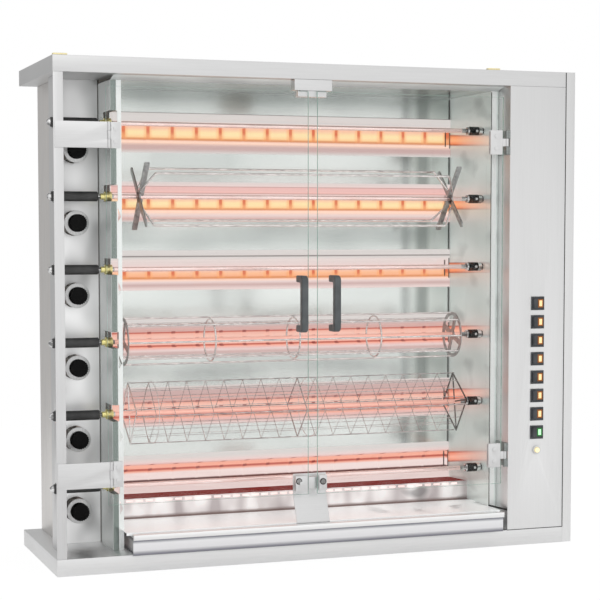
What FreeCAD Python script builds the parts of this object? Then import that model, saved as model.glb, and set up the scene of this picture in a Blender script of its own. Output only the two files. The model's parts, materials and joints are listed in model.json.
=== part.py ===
import FreeCAD, Part

import math
import os

# Gas chicken rotisserie with six spits, a glass double door, a knob compartment on the left,
# a switch column on the right and a drip drawer under the chamber.
# Sizes are in millimetres. The model is laid out from the cabinet's front left bottom corner:
# x runs to the right, y to the back and z up. At export it moves so that the origin is at the
# middle of the whole object's footprint, on the floor.

# Cabinet
width = 1200.0
depth = 380.0
height = 1076.0
base_height = 36.0
roof_height = 34.0
end_panel_width = 22.5
sheet = 1.5
seam = 0.3
pan_flange = 20.0

# Spits and their levels
level_count = 6
top_level_drop = 130.0
bottom_level = 168.5
spit_y = 106.0
rod_radius = 5.0
running_gap = 0.06
seat_gap = 0.3

# Left compartment
post_left = 0.5
post_right = 21.4
post_depth = 145.0
side_inset = 41.0
knob_panel_y = 172.0
casing_x = 133.0

# Cooking chamber
chamber_left = 147.0
chamber_right_margin = 17.0
chamber_front = 60.0
chamber_back_y = 287.0
ceiling_drop = 42.0
flange_edge = 157.0
window_above = 24.0
window_back = 126.0
guide_start = 25.0
guide_tip = 43.0
guide_end = 55.0

# Spit parts
handle_radius = 10.5
handle_left = 15.0
handle_right = 115.0
cap_radius = 8.0
bush_radius = 10.5
bush_neck_radius = 6.5
bush_left = 121.0
bush_shoulder = 130.0
bush_right = 145.0
socket_margin = 4.0
socket_length = 30.0
socket_radius = 10.0
socket_depth = 14.0
hex_width = 6.0
hex_flats = 17.0
shaft_radius = 5.0
shaft_entry = 10.0
web_hole_gap = 3.0
wall_hole_gap = 3.0

# Burners
burner_left = 162.0
tile_count = 15
tile_above = 12.0
tile_below = 26.0
tile_y = 312.0
tile_thick = 12.0
tile_gap = 1.0
divider_width = 6.0
divider_thick = 3.5
mouth_flare = 6.0
rail_height = 20.0
rail_proud = 7.0
burner_back = 340.0
burner_wall = 2.0
burner_margin = 16.0

# Knobs, dials and valves
knob_x = 77.0
knob_drop = 56.3
knob_radius = 19.0
knob_front = 118.0
knob_length = 20.0
knob_flutes = 24
flute_radius = 1.6
stem_radius = 3.0
stem_reach = 30.0
dial_y = 139.0
dial_radius = 27.0
dial_gap = 0.6
nose_radius = 12.0
panel_hole_radius = 27.0
valve_width = 34.0
valve_height = 40.0
valve_front = 178.0
manifold_radius = 11.0
manifold_y = 215.0
manifold_margin = 40.0
feed_radius = 4.0
feed_turn_x = 112.0
feed_y = 331.0
inlet_z = 66.0
inlet_radius = 10.48
inlet_length = 20.0
supply_radius = 9.0
supply_reach = 2.0
inlet_hole_gap = 0.5
gland_inset = 83.0
gland_z = 110.0
gland_radius = 9.0
gland_nut = 27.0
gland_reach = 20.0

# Doors
glass_front = 2.0
glass_thick = 5.0
glass_bottom = 144.0
glass_top_drop = 60.0
left_glass_edge = 111.0
leaf_gap = 21.2
hinge_length = 54.0
top_hinge_drop = 74.0
low_hinge_rise = 38.0
knuckle_radius = 3.5
pin_radius = 1.8
knuckle_gap = 0.4
axis_inset = 5.0
left_axis_y = -2.0
right_axis_inset = 8.0
right_axis_y = 0.0
plate_thick = 2.0
left_plate_start = 3.0
left_clamp_inset = 10.0
left_clamp_width = 20.0
right_clamp_inset = 3.0
right_clamp_width = 30.0
corner_clamp_rise = 7.0
corner_clamp_height = 34.0
corner_clamp_inset = 2.9
left_corner_width = 27.5
right_corner_width = 18.0
screw_radius = 3.0
screw_head_radius = 5.0
screw_head_height = 2.0
screw_hole_gap = 0.3
left_grip_inset = 22.1
right_grip_inset = 31.8
grip_height = 122.0
grip_middle = 560.5
grip_width = 15.0
grip_reach = 41.0
grip_bend = 12.0
grip_inner_bend = 5.0
grip_edge = 3.0

# Door catches
catch_width = 77.0
catch_reach = 25.0
catch_front = 0.8
catch_thick = 2.0
catch_foot = 8.0
catch_low = 78.0
catch_bend = 142.0
catch_high = 187.0
magnet_gap = 1.0
magnet_inset = 5.0
magnet_height = 26.0
top_catch_width = 86.0
top_catch_gap = 2.0
top_catch_front = 0.5
top_catch_depth = 26.0
top_magnet_inset = 10.0

# Drip floor and drawer
deck_z = 83.0
deck_front = 3.0
deck_lip = 6.0
riser_y = 178.0
riser_top = 126.0
floor_back_z = 121.0
drain_pitch = 22.5
drain_length = 16.0
drain_height = 5.0
drain_drop = 2.5
tray_left = 158.5
tray_right_gap = 0.4
tray_front = -20.0
tray_face = -14.0
tray_low = 37.0
tray_top = 81.0
lip_height = 11.0
lip_shelf = -2.0
pan_left = 165.0
pan_right_gap = 8.0
pan_back = 300.0
pan_top = 74.0
runner_height = 2.0
runner_width = 14.0

# Control panel
control_width = 140.5
switch_inset = 72.3
switch_count = 8
switch_top = 552.6
switch_pitch = 42.1
bezel_width = 32.0
bezel_height = 30.5
bezel_proud = 1.8
bezel_depth = 14.0
body_width = 29.8
body_height = 26.6
body_gap = 0.2
rocker_width = 22.0
rocker_radius = 13.6
rocker_gap = 0.3
rocker_pivot = 4.0
rocker_valley = 5.2
rocker_crest = 8.0
rocker_back = 6.0
rocker_tilt = 11.0
trunnion_radius = 1.5
trunnion_reach = 1.6
button_z = 217.3
button_radius = 6.0
button_front = -6.0
button_back = 9.0
button_gap = 0.3
collar_radius = 9.0
collar_proud = 3.0
collar_neck = 7.6

# Motors
motor_plate_reach = 30.5
gearbox_size = 60.0
gearbox_length = 30.0
motor_radius = 24.0
motor_length = 58.0
bracket_half = 36.0

# Baskets
cradle_left = 178.0
cradle_right_gap = 40.0
blade_reach = 78.0
blade_angle = 36.0
blade_width = 15.0
blade_thick = 3.0
cradle_wire = 2.5
cradle_ring = 57.0
cradle_bend = 32.0
rod_basket_left = 168.0
rod_basket_right_gap = 40.0
rod_basket_radius = 50.0
rod_basket_rods = 8
rod_basket_rings = 3
rod_wire = 2.0
wire_gap = 0.02
end_plate = 2.0
hub_radius = 13.0
spoke_width = 12.0
mesh_left = 180.0
mesh_right_gap = 33.0
mesh_reach = 66.0
mesh_corner_wire = 2.5
mesh_wire = 1.5
mesh_bays = 18
mesh_inner_rods = 3

# Back panel and roof
vent_columns = 12
vent_rows = 3
vent_length = 50.0
vent_height = 6.0
vent_pitch_z = 16.0
vent_left = 190.0
vent_drop = 27.0
plug_size = (30.0, 12.0, 4.0)
plug_inset = 4.0
left_plug_x = 2.0
right_plug_inset = 37.0

# Values that follow from the sizes above
body_right = width - end_panel_width
roof_low = height - roof_height
tall_low = base_height + seam
tall_high = roof_low - seam
panel_left = body_right - control_width
chamber_right = panel_left - chamber_right_margin
burner_right = chamber_right - sheet / 2
ceiling_z = height - ceiling_drop
wall_face = chamber_left + sheet
top_level = height - top_level_drop
level_pitch = (top_level - bottom_level) / (level_count - 1)
levels = [top_level - level_pitch * number for number in range(level_count)]
knob_levels = [level - knob_drop for level in levels]
switch_levels = [switch_top - switch_pitch * number for number in range(switch_count)]
switch_x = panel_left + switch_inset
gland_x = panel_left + gland_inset
motor_plate_x = chamber_right + motor_plate_reach
vent_pitch_x = (chamber_right - vent_left) / vent_columns
tile_pitch = (burner_right - burner_left) / tile_count
socket_right = chamber_right - socket_margin
socket_left = socket_right - socket_length
glass_back = glass_front + glass_thick
glass_top = height - glass_top_drop
left_axis = (left_glass_edge + axis_inset, left_axis_y)
right_axis = (panel_left - right_axis_inset, right_axis_y)
right_glass_edge = panel_left - 2 * right_axis_inset
door_middle = (left_glass_edge + right_glass_edge) / 2
left_glass = (left_glass_edge, door_middle - leaf_gap / 2)
right_glass = (door_middle + leaf_gap / 2, right_glass_edge)
left_clamp = (left_glass_edge + left_clamp_inset, left_glass_edge + left_clamp_inset + left_clamp_width)
right_clamp = (right_glass_edge - right_clamp_inset - right_clamp_width, right_glass_edge - right_clamp_inset)
left_corner_end = left_glass[1] - corner_clamp_inset
left_corner_clamp = (left_corner_end - left_corner_width, left_corner_end)
right_corner_start = right_glass[0] + corner_clamp_inset
right_corner_clamp = (right_corner_start, right_corner_start + right_corner_width)
corner_clamp_low = glass_bottom + corner_clamp_rise
corner_clamp_z = (corner_clamp_low, corner_clamp_low + corner_clamp_height)
hinge_levels = (
    (glass_top - top_hinge_drop - hinge_length, glass_top - top_hinge_drop),
    (glass_bottom + low_hinge_rise, glass_bottom + low_hinge_rise + hinge_length),
)
tray_right = chamber_right - tray_right_gap
pan_right = chamber_right - pan_right_gap
cradle_right = socket_left - cradle_right_gap
rod_basket_right = socket_left - rod_basket_right_gap
mesh_right = socket_left - mesh_right_gap
rod_end = socket_left + socket_depth - 1.0
shaft_end = motor_plate_x + sheet + shaft_entry
grip_front = glass_front - grip_reach
inlet_end = depth + supply_reach + inlet_length
home = FreeCAD.Vector(-width / 2, -(grip_front + inlet_end) / 2, 0)

along_x = FreeCAD.Vector(1, 0, 0)
along_y = FreeCAD.Vector(0, 1, 0)
along_z = FreeCAD.Vector(0, 0, 1)


def box(x0, x1, y0, y1, z0, z1):
    return Part.makeBox(x1 - x0, y1 - y0, z1 - z0, FreeCAD.Vector(x0, y0, z0))


def rod(radius, start, direction, length):
    return Part.makeCylinder(radius, length, FreeCAD.Vector(*start), direction)


def tube(outer, inner, start, direction, length):
    return rod(outer, start, direction, length).cut(rod(inner, start, direction, length))


def stick(radius, start, end):
    """A round bar between two points."""
    a = FreeCAD.Vector(*start)
    run = FreeCAD.Vector(*end) - a
    return Part.makeCylinder(radius, run.Length, a, run)


def face_of(points):
    vectors = [FreeCAD.Vector(*point) for point in points]
    return Part.Face(Part.makePolygon(vectors + vectors[:1]))


def slab_x(outline, x0, x1):
    """Extrude an outline of (y, z) points from x0 to x1."""
    return face_of([(x0, y, z) for y, z in outline]).extrude(along_x * (x1 - x0))


def slab_z(outline, z0, z1):
    """Extrude an outline of (x, y) points from z0 to z1."""
    return face_of([(x, y, z0) for x, y in outline]).extrude(along_z * (z1 - z0))


def join(solids):
    whole = solids[0].multiFuse(solids[1:]) if len(solids) > 1 else solids[0]
    return whole.removeSplitter()


def export(node, *solids):
    shape = Part.makeCompound([solid for piece in solids for solid in piece.Solids])
    shape.translate(home)
    shape.exportStep(os.path.join("parts", node + ".step"))


# Cabinet shells

def base_slab():
    shell = box(0, body_right, 0, depth, 0, base_height)
    hollow = box(sheet, body_right - sheet, sheet, depth - sheet, sheet, base_height - sheet)
    mouth = box(pan_flange, body_right - pan_flange, pan_flange, depth - pan_flange, -1, 2 * sheet)
    runner_top = base_height + runner_height
    runners = [
        box(x, x + runner_width, chamber_front, pan_back, base_height, runner_top)
        for x in (pan_left + sheet, pan_right - sheet - runner_width)
    ]
    export("base_slab", shell.cut(hollow).cut(mouth), *runners)


def roof_slab():
    shell = box(0, body_right, 0, depth, roof_low, height)
    hollow = box(sheet, body_right - sheet, sheet, depth - sheet, roof_low + sheet, height - sheet)
    mouth = box(wall_face, chamber_right, chamber_front, depth - pan_flange, roof_low - 1, roof_low + 2 * sheet)
    export("roof_slab", shell.cut(hollow).cut(mouth))


def right_end_panel():
    shell = box(body_right, width, 0, depth, 0, height)
    hollow = box(body_right - 1, width - sheet, sheet, depth - sheet, sheet, height - sheet)
    export("right_end_panel", shell.cut(hollow))


def left_front_post():
    outline = [
        (post_left, 0), (post_right, 0), (post_right, post_depth - sheet),
        (side_inset, post_depth - sheet), (side_inset, post_depth),
        (post_right - sheet, post_depth), (post_right - sheet, sheet), (post_left, sheet),
    ]
    post = slab_z(outline, tall_low, tall_high)
    for level in levels:
        start = (post_left, spit_y, level)
        post = post.cut(rod(handle_radius + web_hole_gap, start, along_x, post_right))
    export("left_front_post", post)


def left_side_panel():
    inner = side_inset + sheet
    skin = box(side_inset, inner, post_depth + seam, depth - sheet - seam, tall_low, tall_high)
    export("left_side_panel", skin)


def rear_panel():
    left = side_inset + sheet + seam
    panel = box(left, body_right - seam, depth - sheet, depth, tall_low, tall_high)
    inlet = rod(supply_radius + inlet_hole_gap, (knob_x, depth - 2 * sheet, inlet_z), along_y, 4 * sheet)
    gland = rod(gland_radius + inlet_hole_gap, (gland_x, depth - 2 * sheet, gland_z), along_y, 4 * sheet)
    slots = []
    for column in range(vent_columns):
        for row in range(vent_rows):
            x = vent_left + column * vent_pitch_x
            z = roof_low - vent_drop - row * vent_pitch_z
            slots.append(box(x, x + vent_length, depth - 2 * sheet, depth + sheet, z - vent_height, z))
    export("rear_panel", panel.cut(inlet).cut(gland).cut(Part.makeCompound(slots)))


def control_panel():
    right = body_right - seam
    outline = [
        (panel_left, 0), (right, 0), (right, pan_flange), (right - sheet, pan_flange),
        (right - sheet, sheet), (panel_left + sheet, sheet),
        (panel_left + sheet, chamber_front), (panel_left, chamber_front),
    ]
    panel = slab_z(outline, tall_low, tall_high)
    half_width = body_width / 2 + body_gap
    half_height = body_height / 2 + body_gap
    holes = [
        box(switch_x - half_width, switch_x + half_width, -sheet, 2 * sheet, z - half_height, z + half_height)
        for z in switch_levels
    ]
    holes.append(rod(collar_neck + body_gap, (switch_x, -sheet, button_z), along_y, 3 * sheet))
    export("control_panel", panel.cut(Part.makeCompound(holes)))


# Cooking chamber

def chamber_lining():
    left = wall_face + seam
    right = chamber_right - seam
    back = chamber_back_y + sheet
    pieces = [box(left, right, chamber_front, back, ceiling_z, ceiling_z + sheet)]
    above = tile_above + mouth_flare + rail_height + seam
    below = tile_below + mouth_flare + rail_height + seam
    tops = [ceiling_z - seam] + [level - below for level in levels[:-1]]
    for top, level in zip(tops, levels):
        pieces.append(box(left, right, chamber_back_y, back, level + above, top))
    export("chamber_lining", *pieces)


def chamber_left_wall():
    outline = [
        (casing_x, chamber_front), (flange_edge, chamber_front), (flange_edge, chamber_front + sheet),
        (wall_face, chamber_front + sheet), (wall_face, chamber_back_y - seam),
        (chamber_left, chamber_back_y - seam), (chamber_left, chamber_front + sheet),
        (casing_x + sheet, chamber_front + sheet), (casing_x + sheet, knob_panel_y),
        (casing_x, knob_panel_y),
    ]
    wall = slab_z(outline, tall_low, ceiling_z - seam)
    cuts = []
    for level in levels:
        low = level - bush_radius - seam
        high = level + window_above
        cuts.append(box(casing_x - 1, wall_face, chamber_front - 1, window_back, low, high))
        guide = [
            (wall_face, chamber_front - 1, level - guide_start),
            (flange_edge - sheet, chamber_front - 1, level - guide_tip),
            (wall_face, chamber_front - 1, level - guide_end),
        ]
        cuts.append(face_of(guide).extrude(along_y * (2 + sheet)))
    export("chamber_left_wall", wall.cut(Part.makeCompound(cuts)))


def chamber_right_wall():
    edge = panel_left - seam
    outline = [
        (chamber_right, chamber_front), (edge, chamber_front), (edge, chamber_front + sheet),
        (chamber_right + sheet, chamber_front + sheet), (chamber_right + sheet, chamber_back_y - seam),
        (chamber_right, chamber_back_y - seam),
    ]
    wall = slab_z(outline, tall_low, ceiling_z - seam)
    holes = [
        rod(shaft_radius + wall_hole_gap, (chamber_right - 1, spit_y, level), along_x, 4 * sheet)
        for level in levels
    ]
    export("chamber_right_wall", wall.cut(Part.makeCompound(holes)))


def drip_floor():
    back = chamber_back_y - rail_proud - seam
    outline = [
        (deck_front, deck_z - deck_lip), (deck_front, deck_z), (riser_y, deck_z),
        (riser_y, riser_top), (back, floor_back_z), (back, floor_back_z - sheet),
        (riser_y + sheet, riser_top - sheet), (riser_y + sheet, deck_z - sheet),
        (deck_front + sheet, deck_z - sheet), (deck_front + sheet, deck_z - deck_lip),
    ]
    left = wall_face + seam
    right = chamber_right - seam
    floor = slab_x(outline, left, right)
    count = int((right - left - drain_pitch) / drain_pitch)
    margin = (right - left - count * drain_pitch) / 2
    slot_top = riser_top - drain_drop
    slots = []
    for number in range(count):
        x = left + margin + number * drain_pitch
        slots.append(box(
            x, x + drain_length, riser_y - 1, riser_y + sheet + 1, slot_top - drain_height, slot_top,
        ))
    flange = box(
        left - 1, flange_edge + seam, chamber_front - seam, chamber_front + sheet + seam,
        deck_z - deck_lip, deck_z + 1,
    )
    export("drip_floor", floor.cut(Part.makeCompound(slots)).cut(flange))


def knob_panel():
    left = side_inset + sheet + seam
    panel = box(left, casing_x + sheet, knob_panel_y + seam, knob_panel_y + seam + sheet, tall_low, tall_high)
    holes = [
        rod(panel_hole_radius, (knob_x, knob_panel_y - 1, z), along_y, 4 * sheet)
        for z in knob_levels
    ]
    export("knob_panel", panel.cut(Part.makeCompound(holes)))


# Burners

def burner_bodies():
    top = tile_above
    low = -tile_below
    front = chamber_back_y - rail_proud
    mouth_y = tile_y - divider_thick
    outline = [
        (front, top + mouth_flare), (front, top + mouth_flare + rail_height),
        (burner_back, top + mouth_flare + rail_height),
        (burner_back, low - mouth_flare - rail_height),
        (front, low - mouth_flare - rail_height), (front, low - mouth_flare),
        (mouth_y, low), (burner_back - burner_wall, low),
        (burner_back - burner_wall, top), (mouth_y, top),
    ]
    wall = burner_wall
    inside_top = top + mouth_flare + rail_height - wall
    inside_low = low - mouth_flare - rail_height + wall
    hollows = [
        [
            (front + wall, top + mouth_flare + wall), (front + wall, inside_top),
            (burner_back - wall, inside_top), (burner_back - wall, top + wall), (mouth_y, top + wall),
        ],
        [
            (front + wall, low - mouth_flare - wall), (front + wall, inside_low),
            (burner_back - wall, inside_low), (burner_back - wall, low - wall), (mouth_y, low - wall),
        ],
    ]
    bodies = []
    for level in levels:
        shifted = [(y, z + level) for y, z in outline]
        body = slab_x(shifted, burner_left, burner_right)
        for hollow in hollows:
            body = body.cut(slab_x([(y, z + level) for y, z in hollow], burner_left - 1, burner_right + 1))
        pieces = [body]
        for number in range(1, tile_count):
            x = burner_left + number * tile_pitch
            half = divider_width / 2
            pieces.append(box(x - half, x + half, mouth_y, tile_y, level + low, level + top))
        bodies.append(join(pieces))
    export("burner_bodies", *bodies)


def burner_tiles():
    tiles = []
    half_gap = tile_gap / 2
    for level in levels:
        for number in range(tile_count):
            x = burner_left + number * tile_pitch
            tiles.append(box(
                x + half_gap, x + tile_pitch - half_gap, tile_y, tile_y + tile_thick,
                level - tile_below, level + tile_above,
            ))
    export("burner_tiles", *tiles)


# Gas supply

def feed_pipe(valve_z, burner_z):
    turn_z = burner_z - tile_below
    start = (knob_x + valve_width / 2, manifold_y - manifold_radius - 2 * feed_radius, valve_z)
    stops = [
        start,
        (feed_turn_x, start[1], valve_z),
        (feed_turn_x, feed_y, valve_z),
        (feed_turn_x, feed_y, turn_z),
        (burner_left, feed_y, turn_z),
    ]
    pieces = [stick(feed_radius, a, b) for a, b in zip(stops, stops[1:])]
    pieces += [Part.makeSphere(feed_radius, FreeCAD.Vector(*stop)) for stop in stops[1:-1]]
    return join(pieces)


def gas_train():
    """Upright manifold with the rear inlet, one valve for each knob, and the burner feeds."""
    low = inlet_z - manifold_radius
    high = knob_levels[0] + manifold_margin
    pieces = [rod(manifold_radius, (knob_x, manifold_y, low), along_z, high - low)]
    supply_start = manifold_y + manifold_radius
    inlet_start = inlet_end - inlet_length
    supply = rod(supply_radius, (knob_x, supply_start, inlet_z), along_y, inlet_start - supply_start)
    pieces.append(supply.fuse(rod(inlet_radius, (knob_x, inlet_start, inlet_z), along_y, inlet_length)))
    valve_back = manifold_y - manifold_radius
    nose_front = dial_y + sheet
    stem_end = knob_front + knob_length + stem_reach
    for z in knob_levels:
        block = box(
            knob_x - valve_width / 2, knob_x + valve_width / 2, valve_front, valve_back,
            z - valve_height / 2, z + valve_height / 2,
        )
        nose = rod(nose_radius, (knob_x, nose_front, z), along_y, valve_front - nose_front)
        hole_length = stem_end - nose_front + 1 + seat_gap
        hole = rod(stem_radius + running_gap, (knob_x, nose_front - 1, z), along_y, hole_length)
        pieces.append(block.fuse(nose).cut(hole))
    pieces += [feed_pipe(z, level) for z, level in zip(knob_levels, levels)]
    export("gas_train", *pieces)


def dial_plates():
    hole = stem_radius + 2 * running_gap
    plates = [tube(dial_radius, hole, (knob_x, dial_y, z), along_y, sheet) for z in knob_levels]
    export("dial_plates", *plates)


def knobs():
    back = dial_y - dial_gap
    for number, z in enumerate(knob_levels, 1):
        grip = rod(knob_radius, (knob_x, knob_front, z), along_y, back - knob_front)
        grip = grip.makeChamfer(1.2, [edge for edge in grip.Edges if edge.BoundBox.YMax < knob_front + 0.1])
        flutes = []
        for step in range(knob_flutes):
            angle = 2 * math.pi * step / knob_flutes
            x = knob_x + knob_radius * math.cos(angle)
            start = (x, knob_front - 1, z + knob_radius * math.sin(angle))
            flutes.append(rod(flute_radius, start, along_y, back - knob_front - 3))
        grip = grip.cut(Part.makeCompound(flutes))
        reach = knob_length + stem_reach - knob_length / 2
        stem = rod(stem_radius, (knob_x, knob_front + knob_length / 2, z), along_y, reach)
        socket = rod(stem_radius, (knob_x, knob_front + knob_length / 2, z), along_y, knob_length)
        export("knob_%d" % number, grip.cut(socket), stem)


# Spits

def spits():
    bore = rod_radius + running_gap
    for number, level in enumerate(levels, 1):
        bar = rod(rod_radius, (handle_left, spit_y, level), along_x, rod_end - handle_left)
        cap = Part.makeSphere(cap_radius, FreeCAD.Vector(handle_left, spit_y, level))
        cap = cap.cut(box(handle_left, width, 0, depth, 0, height))
        hexagon = [
            (
                socket_left - hex_width,
                spit_y + hex_flats / math.sqrt(3) * math.cos(math.radians(60 * corner)),
                level + hex_flats / math.sqrt(3) * math.sin(math.radians(60 * corner)),
            )
            for corner in range(6)
        ]
        collar = face_of(hexagon).extrude(along_x * (hex_width - seam))
        collar = collar.cut(rod(bore, (socket_left - hex_width, spit_y, level), along_x, hex_width))
        socket = join([
            rod(socket_radius, (socket_left, spit_y, level), along_x, socket_right - socket_left),
            rod(shaft_radius, (socket_right, spit_y, level), along_x, shaft_end - socket_right),
        ])
        socket = socket.cut(rod(bore, (socket_left, spit_y, level), along_x, socket_depth))
        export("spit_%d" % number, bar.fuse(cap), collar, socket)


def spit_handles():
    for number, level in enumerate(levels, 1):
        start = (handle_left + seam, spit_y, level)
        length = handle_right - handle_left - seam
        grip = rod(handle_radius, start, along_x, length)
        grip = grip.makeFillet(2.0, [edge for edge in grip.Edges if edge.Curve.TypeId == "Part::GeomCircle"])
        grip = grip.cut(rod(rod_radius + running_gap, start, along_x, length))
        export("spit_handle_%d" % number, grip)


def spit_rests():
    rests = []
    for level in levels:
        neck = rod(bush_neck_radius, (bush_left, spit_y, level), along_x, bush_shoulder - bush_left)
        body = rod(bush_radius, (bush_shoulder, spit_y, level), along_x, bush_right - bush_shoulder)
        hole = rod(rod_radius + running_gap, (bush_left, spit_y, level), along_x, bush_right - bush_left)
        rests.append(neck.fuse(body).cut(hole))
    export("spit_rests", *rests)


def drive_motors():
    solids = []
    plate_back = motor_plate_x + sheet
    for level in levels:
        arm = [
            (chamber_right + sheet, level - bracket_half), (plate_back, level - bracket_half),
            (plate_back, level + bracket_half), (chamber_right + sheet, level + bracket_half),
            (chamber_right + sheet, level + bracket_half - sheet),
            (motor_plate_x, level + bracket_half - sheet),
            (motor_plate_x, level - bracket_half + sheet),
            (chamber_right + sheet, level - bracket_half + sheet),
        ]
        front = spit_y - gearbox_size / 2
        bracket = face_of([(x, front, z) for x, z in arm]).extrude(along_y * gearbox_size)
        half = gearbox_size / 2
        gearbox = box(plate_back, plate_back + gearbox_length, front, front + gearbox_size, level - half, level + half)
        motor = rod(motor_radius, (plate_back + gearbox_length, spit_y, level), along_x, motor_length)
        hole = rod(shaft_radius + running_gap, (motor_plate_x - 1, spit_y, level), along_x, shaft_end - motor_plate_x + 2)
        solids.append(bracket.cut(hole))
        solids.append(gearbox.fuse(motor).cut(hole))
    export("drive_motors", *solids)


# Baskets

def hub_bore(level, x0, x1):
    return rod(rod_radius + running_gap, (x0 - 1, spit_y, level), along_x, x1 - x0 + 2)


def spokes(level, x0, x1, reach, angles, bar_width):
    bars = []
    for angle in angles:
        bar = box(x0, x1, spit_y - bar_width / 2, spit_y + bar_width / 2, level - reach, level + reach)
        bar.rotate(FreeCAD.Vector(x0, spit_y, level), along_x, angle)
        bars.append(bar)
    bars.append(rod(hub_radius, (x0, spit_y, level), along_x, x1 - x0))
    return join(bars)


def cradle():
    level = levels[1]
    solids = []
    for x0 in (cradle_left, cradle_right - blade_thick):
        x1 = x0 + blade_thick
        blades = spokes(level, x0, x1, blade_reach, (blade_angle, -blade_angle), blade_width)
        solids.append(blades.cut(hub_bore(level, x0, x1)))
    left = cradle_left + blade_thick
    right = cradle_right - blade_thick
    inner = cradle_ring - cradle_bend
    for side in (blade_angle, -blade_angle, 180 + blade_angle, 180 - blade_angle):
        lean = math.radians(side)
        aim = (math.sin(lean), math.cos(lean))
        ends = []
        for x, reach in ((left, inner), (left + cradle_bend, cradle_ring), (right - cradle_bend, cradle_ring), (right, inner)):
            ends.append((x, spit_y - reach * aim[0], level + reach * aim[1]))
        wire = [stick(cradle_wire, a, b) for a, b in zip(ends, ends[1:])]
        wire += [Part.makeSphere(cradle_wire, FreeCAD.Vector(*end)) for end in ends[1:-1]]
        bent = join(wire)
        solids.append(bent.common(box(left, right, 0, depth, 0, height)))
    export("cradle_2", *solids)


def rod_basket():
    level = levels[3]
    left = rod_basket_left + end_plate
    right = rod_basket_right - end_plate
    solids = []
    for x0 in (rod_basket_left, right):
        x1 = x0 + end_plate
        rim = tube(
            rod_basket_radius + rod_wire, rod_basket_radius - 3 * rod_wire,
            (x0, spit_y, level), along_x, end_plate,
        )
        cross = spokes(level, x0, x1, rod_basket_radius - rod_wire, (22.5, 112.5), spoke_width)
        solids.append(rim.fuse(cross).cut(hub_bore(level, x0, x1)))
    step = 360.0 / rod_basket_rods
    for number in range(rod_basket_rods):
        angle = math.radians(number * step)
        y = spit_y + rod_basket_radius * math.cos(angle)
        z = level + rod_basket_radius * math.sin(angle)
        solids.append(rod(rod_wire, (left, y, z), along_x, right - left))
    ring_radius = rod_basket_radius - 2 * rod_wire - wire_gap
    bay = (right - left) / (rod_basket_rings + 1)
    for number in range(1, rod_basket_rings + 1):
        centre = FreeCAD.Vector(left + number * bay, spit_y, level)
        ring = Part.makeTorus(ring_radius, rod_wire, centre, along_x)
        for part in range(rod_basket_rods):
            start = math.radians((part - 0.5) * step)
            end = math.radians((part + 0.5) * step)
            far = 2 * rod_basket_radius
            wedge = [
                (centre.x - 2 * rod_wire, spit_y, level),
                (centre.x - 2 * rod_wire, spit_y + far * math.cos(start), level + far * math.sin(start)),
                (centre.x - 2 * rod_wire, spit_y + far * math.cos(end), level + far * math.sin(end)),
            ]
            solids.append(ring.common(face_of(wedge).extrude(along_x * 4 * rod_wire)))
    export("rod_basket_4", *solids)


def mesh_basket():
    level = levels[4]
    left = mesh_left + end_plate
    right = mesh_right - end_plate
    side = mesh_reach * math.sqrt(2)
    outer = mesh_reach + mesh_corner_wire
    solids = []
    for x0 in (mesh_left, right):
        x1 = x0 + end_plate
        frame = []
        for reach in (outer, outer - 3 * mesh_corner_wire):
            corners = [(spit_y, level + reach), (spit_y + reach, level), (spit_y, level - reach), (spit_y - reach, level)]
            frame.append(slab_x(corners, x0, x1))
        cross = spokes(level, x0, x1, mesh_reach - mesh_corner_wire, (0, 90), spoke_width)
        solids.append(frame[0].cut(frame[1]).fuse(cross).cut(hub_bore(level, x0, x1)))
    butt = mesh_corner_wire + wire_gap
    bay = (right - left) / mesh_bays
    for quarter in range(4):
        turn = math.radians(90 * quarter)
        corner = (math.sin(turn), math.cos(turn))
        after = (math.sin(turn + math.pi / 2), math.cos(turn + math.pi / 2))
        run = ((after[0] - corner[0]) / math.sqrt(2), (after[1] - corner[1]) / math.sqrt(2))
        inward = (-(after[0] + corner[0]) / math.sqrt(2), -(after[1] + corner[1]) / math.sqrt(2))
        y0 = spit_y + mesh_reach * corner[0]
        z0 = level + mesh_reach * corner[1]
        solids.append(rod(mesh_corner_wire, (left, y0, z0), along_x, right - left))
        for number in range(1, mesh_inner_rods + 1):
            share = side * number / (mesh_inner_rods + 1)
            inset = 2 * mesh_wire + wire_gap
            y = y0 + share * run[0] + inset * inward[0]
            z = z0 + share * run[1] + inset * inward[1]
            solids.append(rod(mesh_wire, (left, y, z), along_x, right - left))
        for number in range(1, mesh_bays):
            x = left + number * bay
            a = (x, y0 + butt * run[0], z0 + butt * run[1])
            b = (x, y0 + (side - butt) * run[0], z0 + (side - butt) * run[1])
            solids.append(stick(mesh_wire, a, b))
    export("mesh_basket_5", *solids)


# Doors

def clamp_screw(x, z):
    """One screw through a front and a rear clamp plate, with the head in front."""
    front = glass_front - plate_thick
    length = glass_thick + 2 * plate_thick
    shank = rod(screw_radius, (x, front, z), along_y, length)
    head = rod(screw_head_radius, (x, front - screw_head_height, z), along_y, screw_head_height)
    return shank.fuse(head)


def clamp(x0, x1, z0, z1, screws):
    plates = [
        box(x0, x1, glass_front - plate_thick, glass_front, z0, z1),
        box(x0, x1, glass_back, glass_back + plate_thick, z0, z1),
    ]
    return join(plates + [clamp_screw((x0 + x1) / 2, z) for z in screws])


def hinge_screws(z0, z1):
    return (z0 + (z1 - z0) / 4, z1 - (z1 - z0) / 4)


def glass_leaf(side, span, clamps, corner):
    leaf = box(span[0], span[1], glass_front, glass_back, glass_bottom, glass_top)
    hole = screw_radius + screw_hole_gap
    cuts = []
    for z0, z1 in hinge_levels:
        for z in hinge_screws(z0, z1):
            cuts.append(rod(hole, (sum(clamps) / 2, glass_front - 1, z), along_y, glass_thick + 2))
    cuts.append(rod(hole, (sum(corner) / 2, glass_front - 1, sum(corner_clamp_z) / 2), along_y, glass_thick + 2))
    export("door_glass_" + side, leaf.cut(Part.makeCompound(cuts)))


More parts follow.
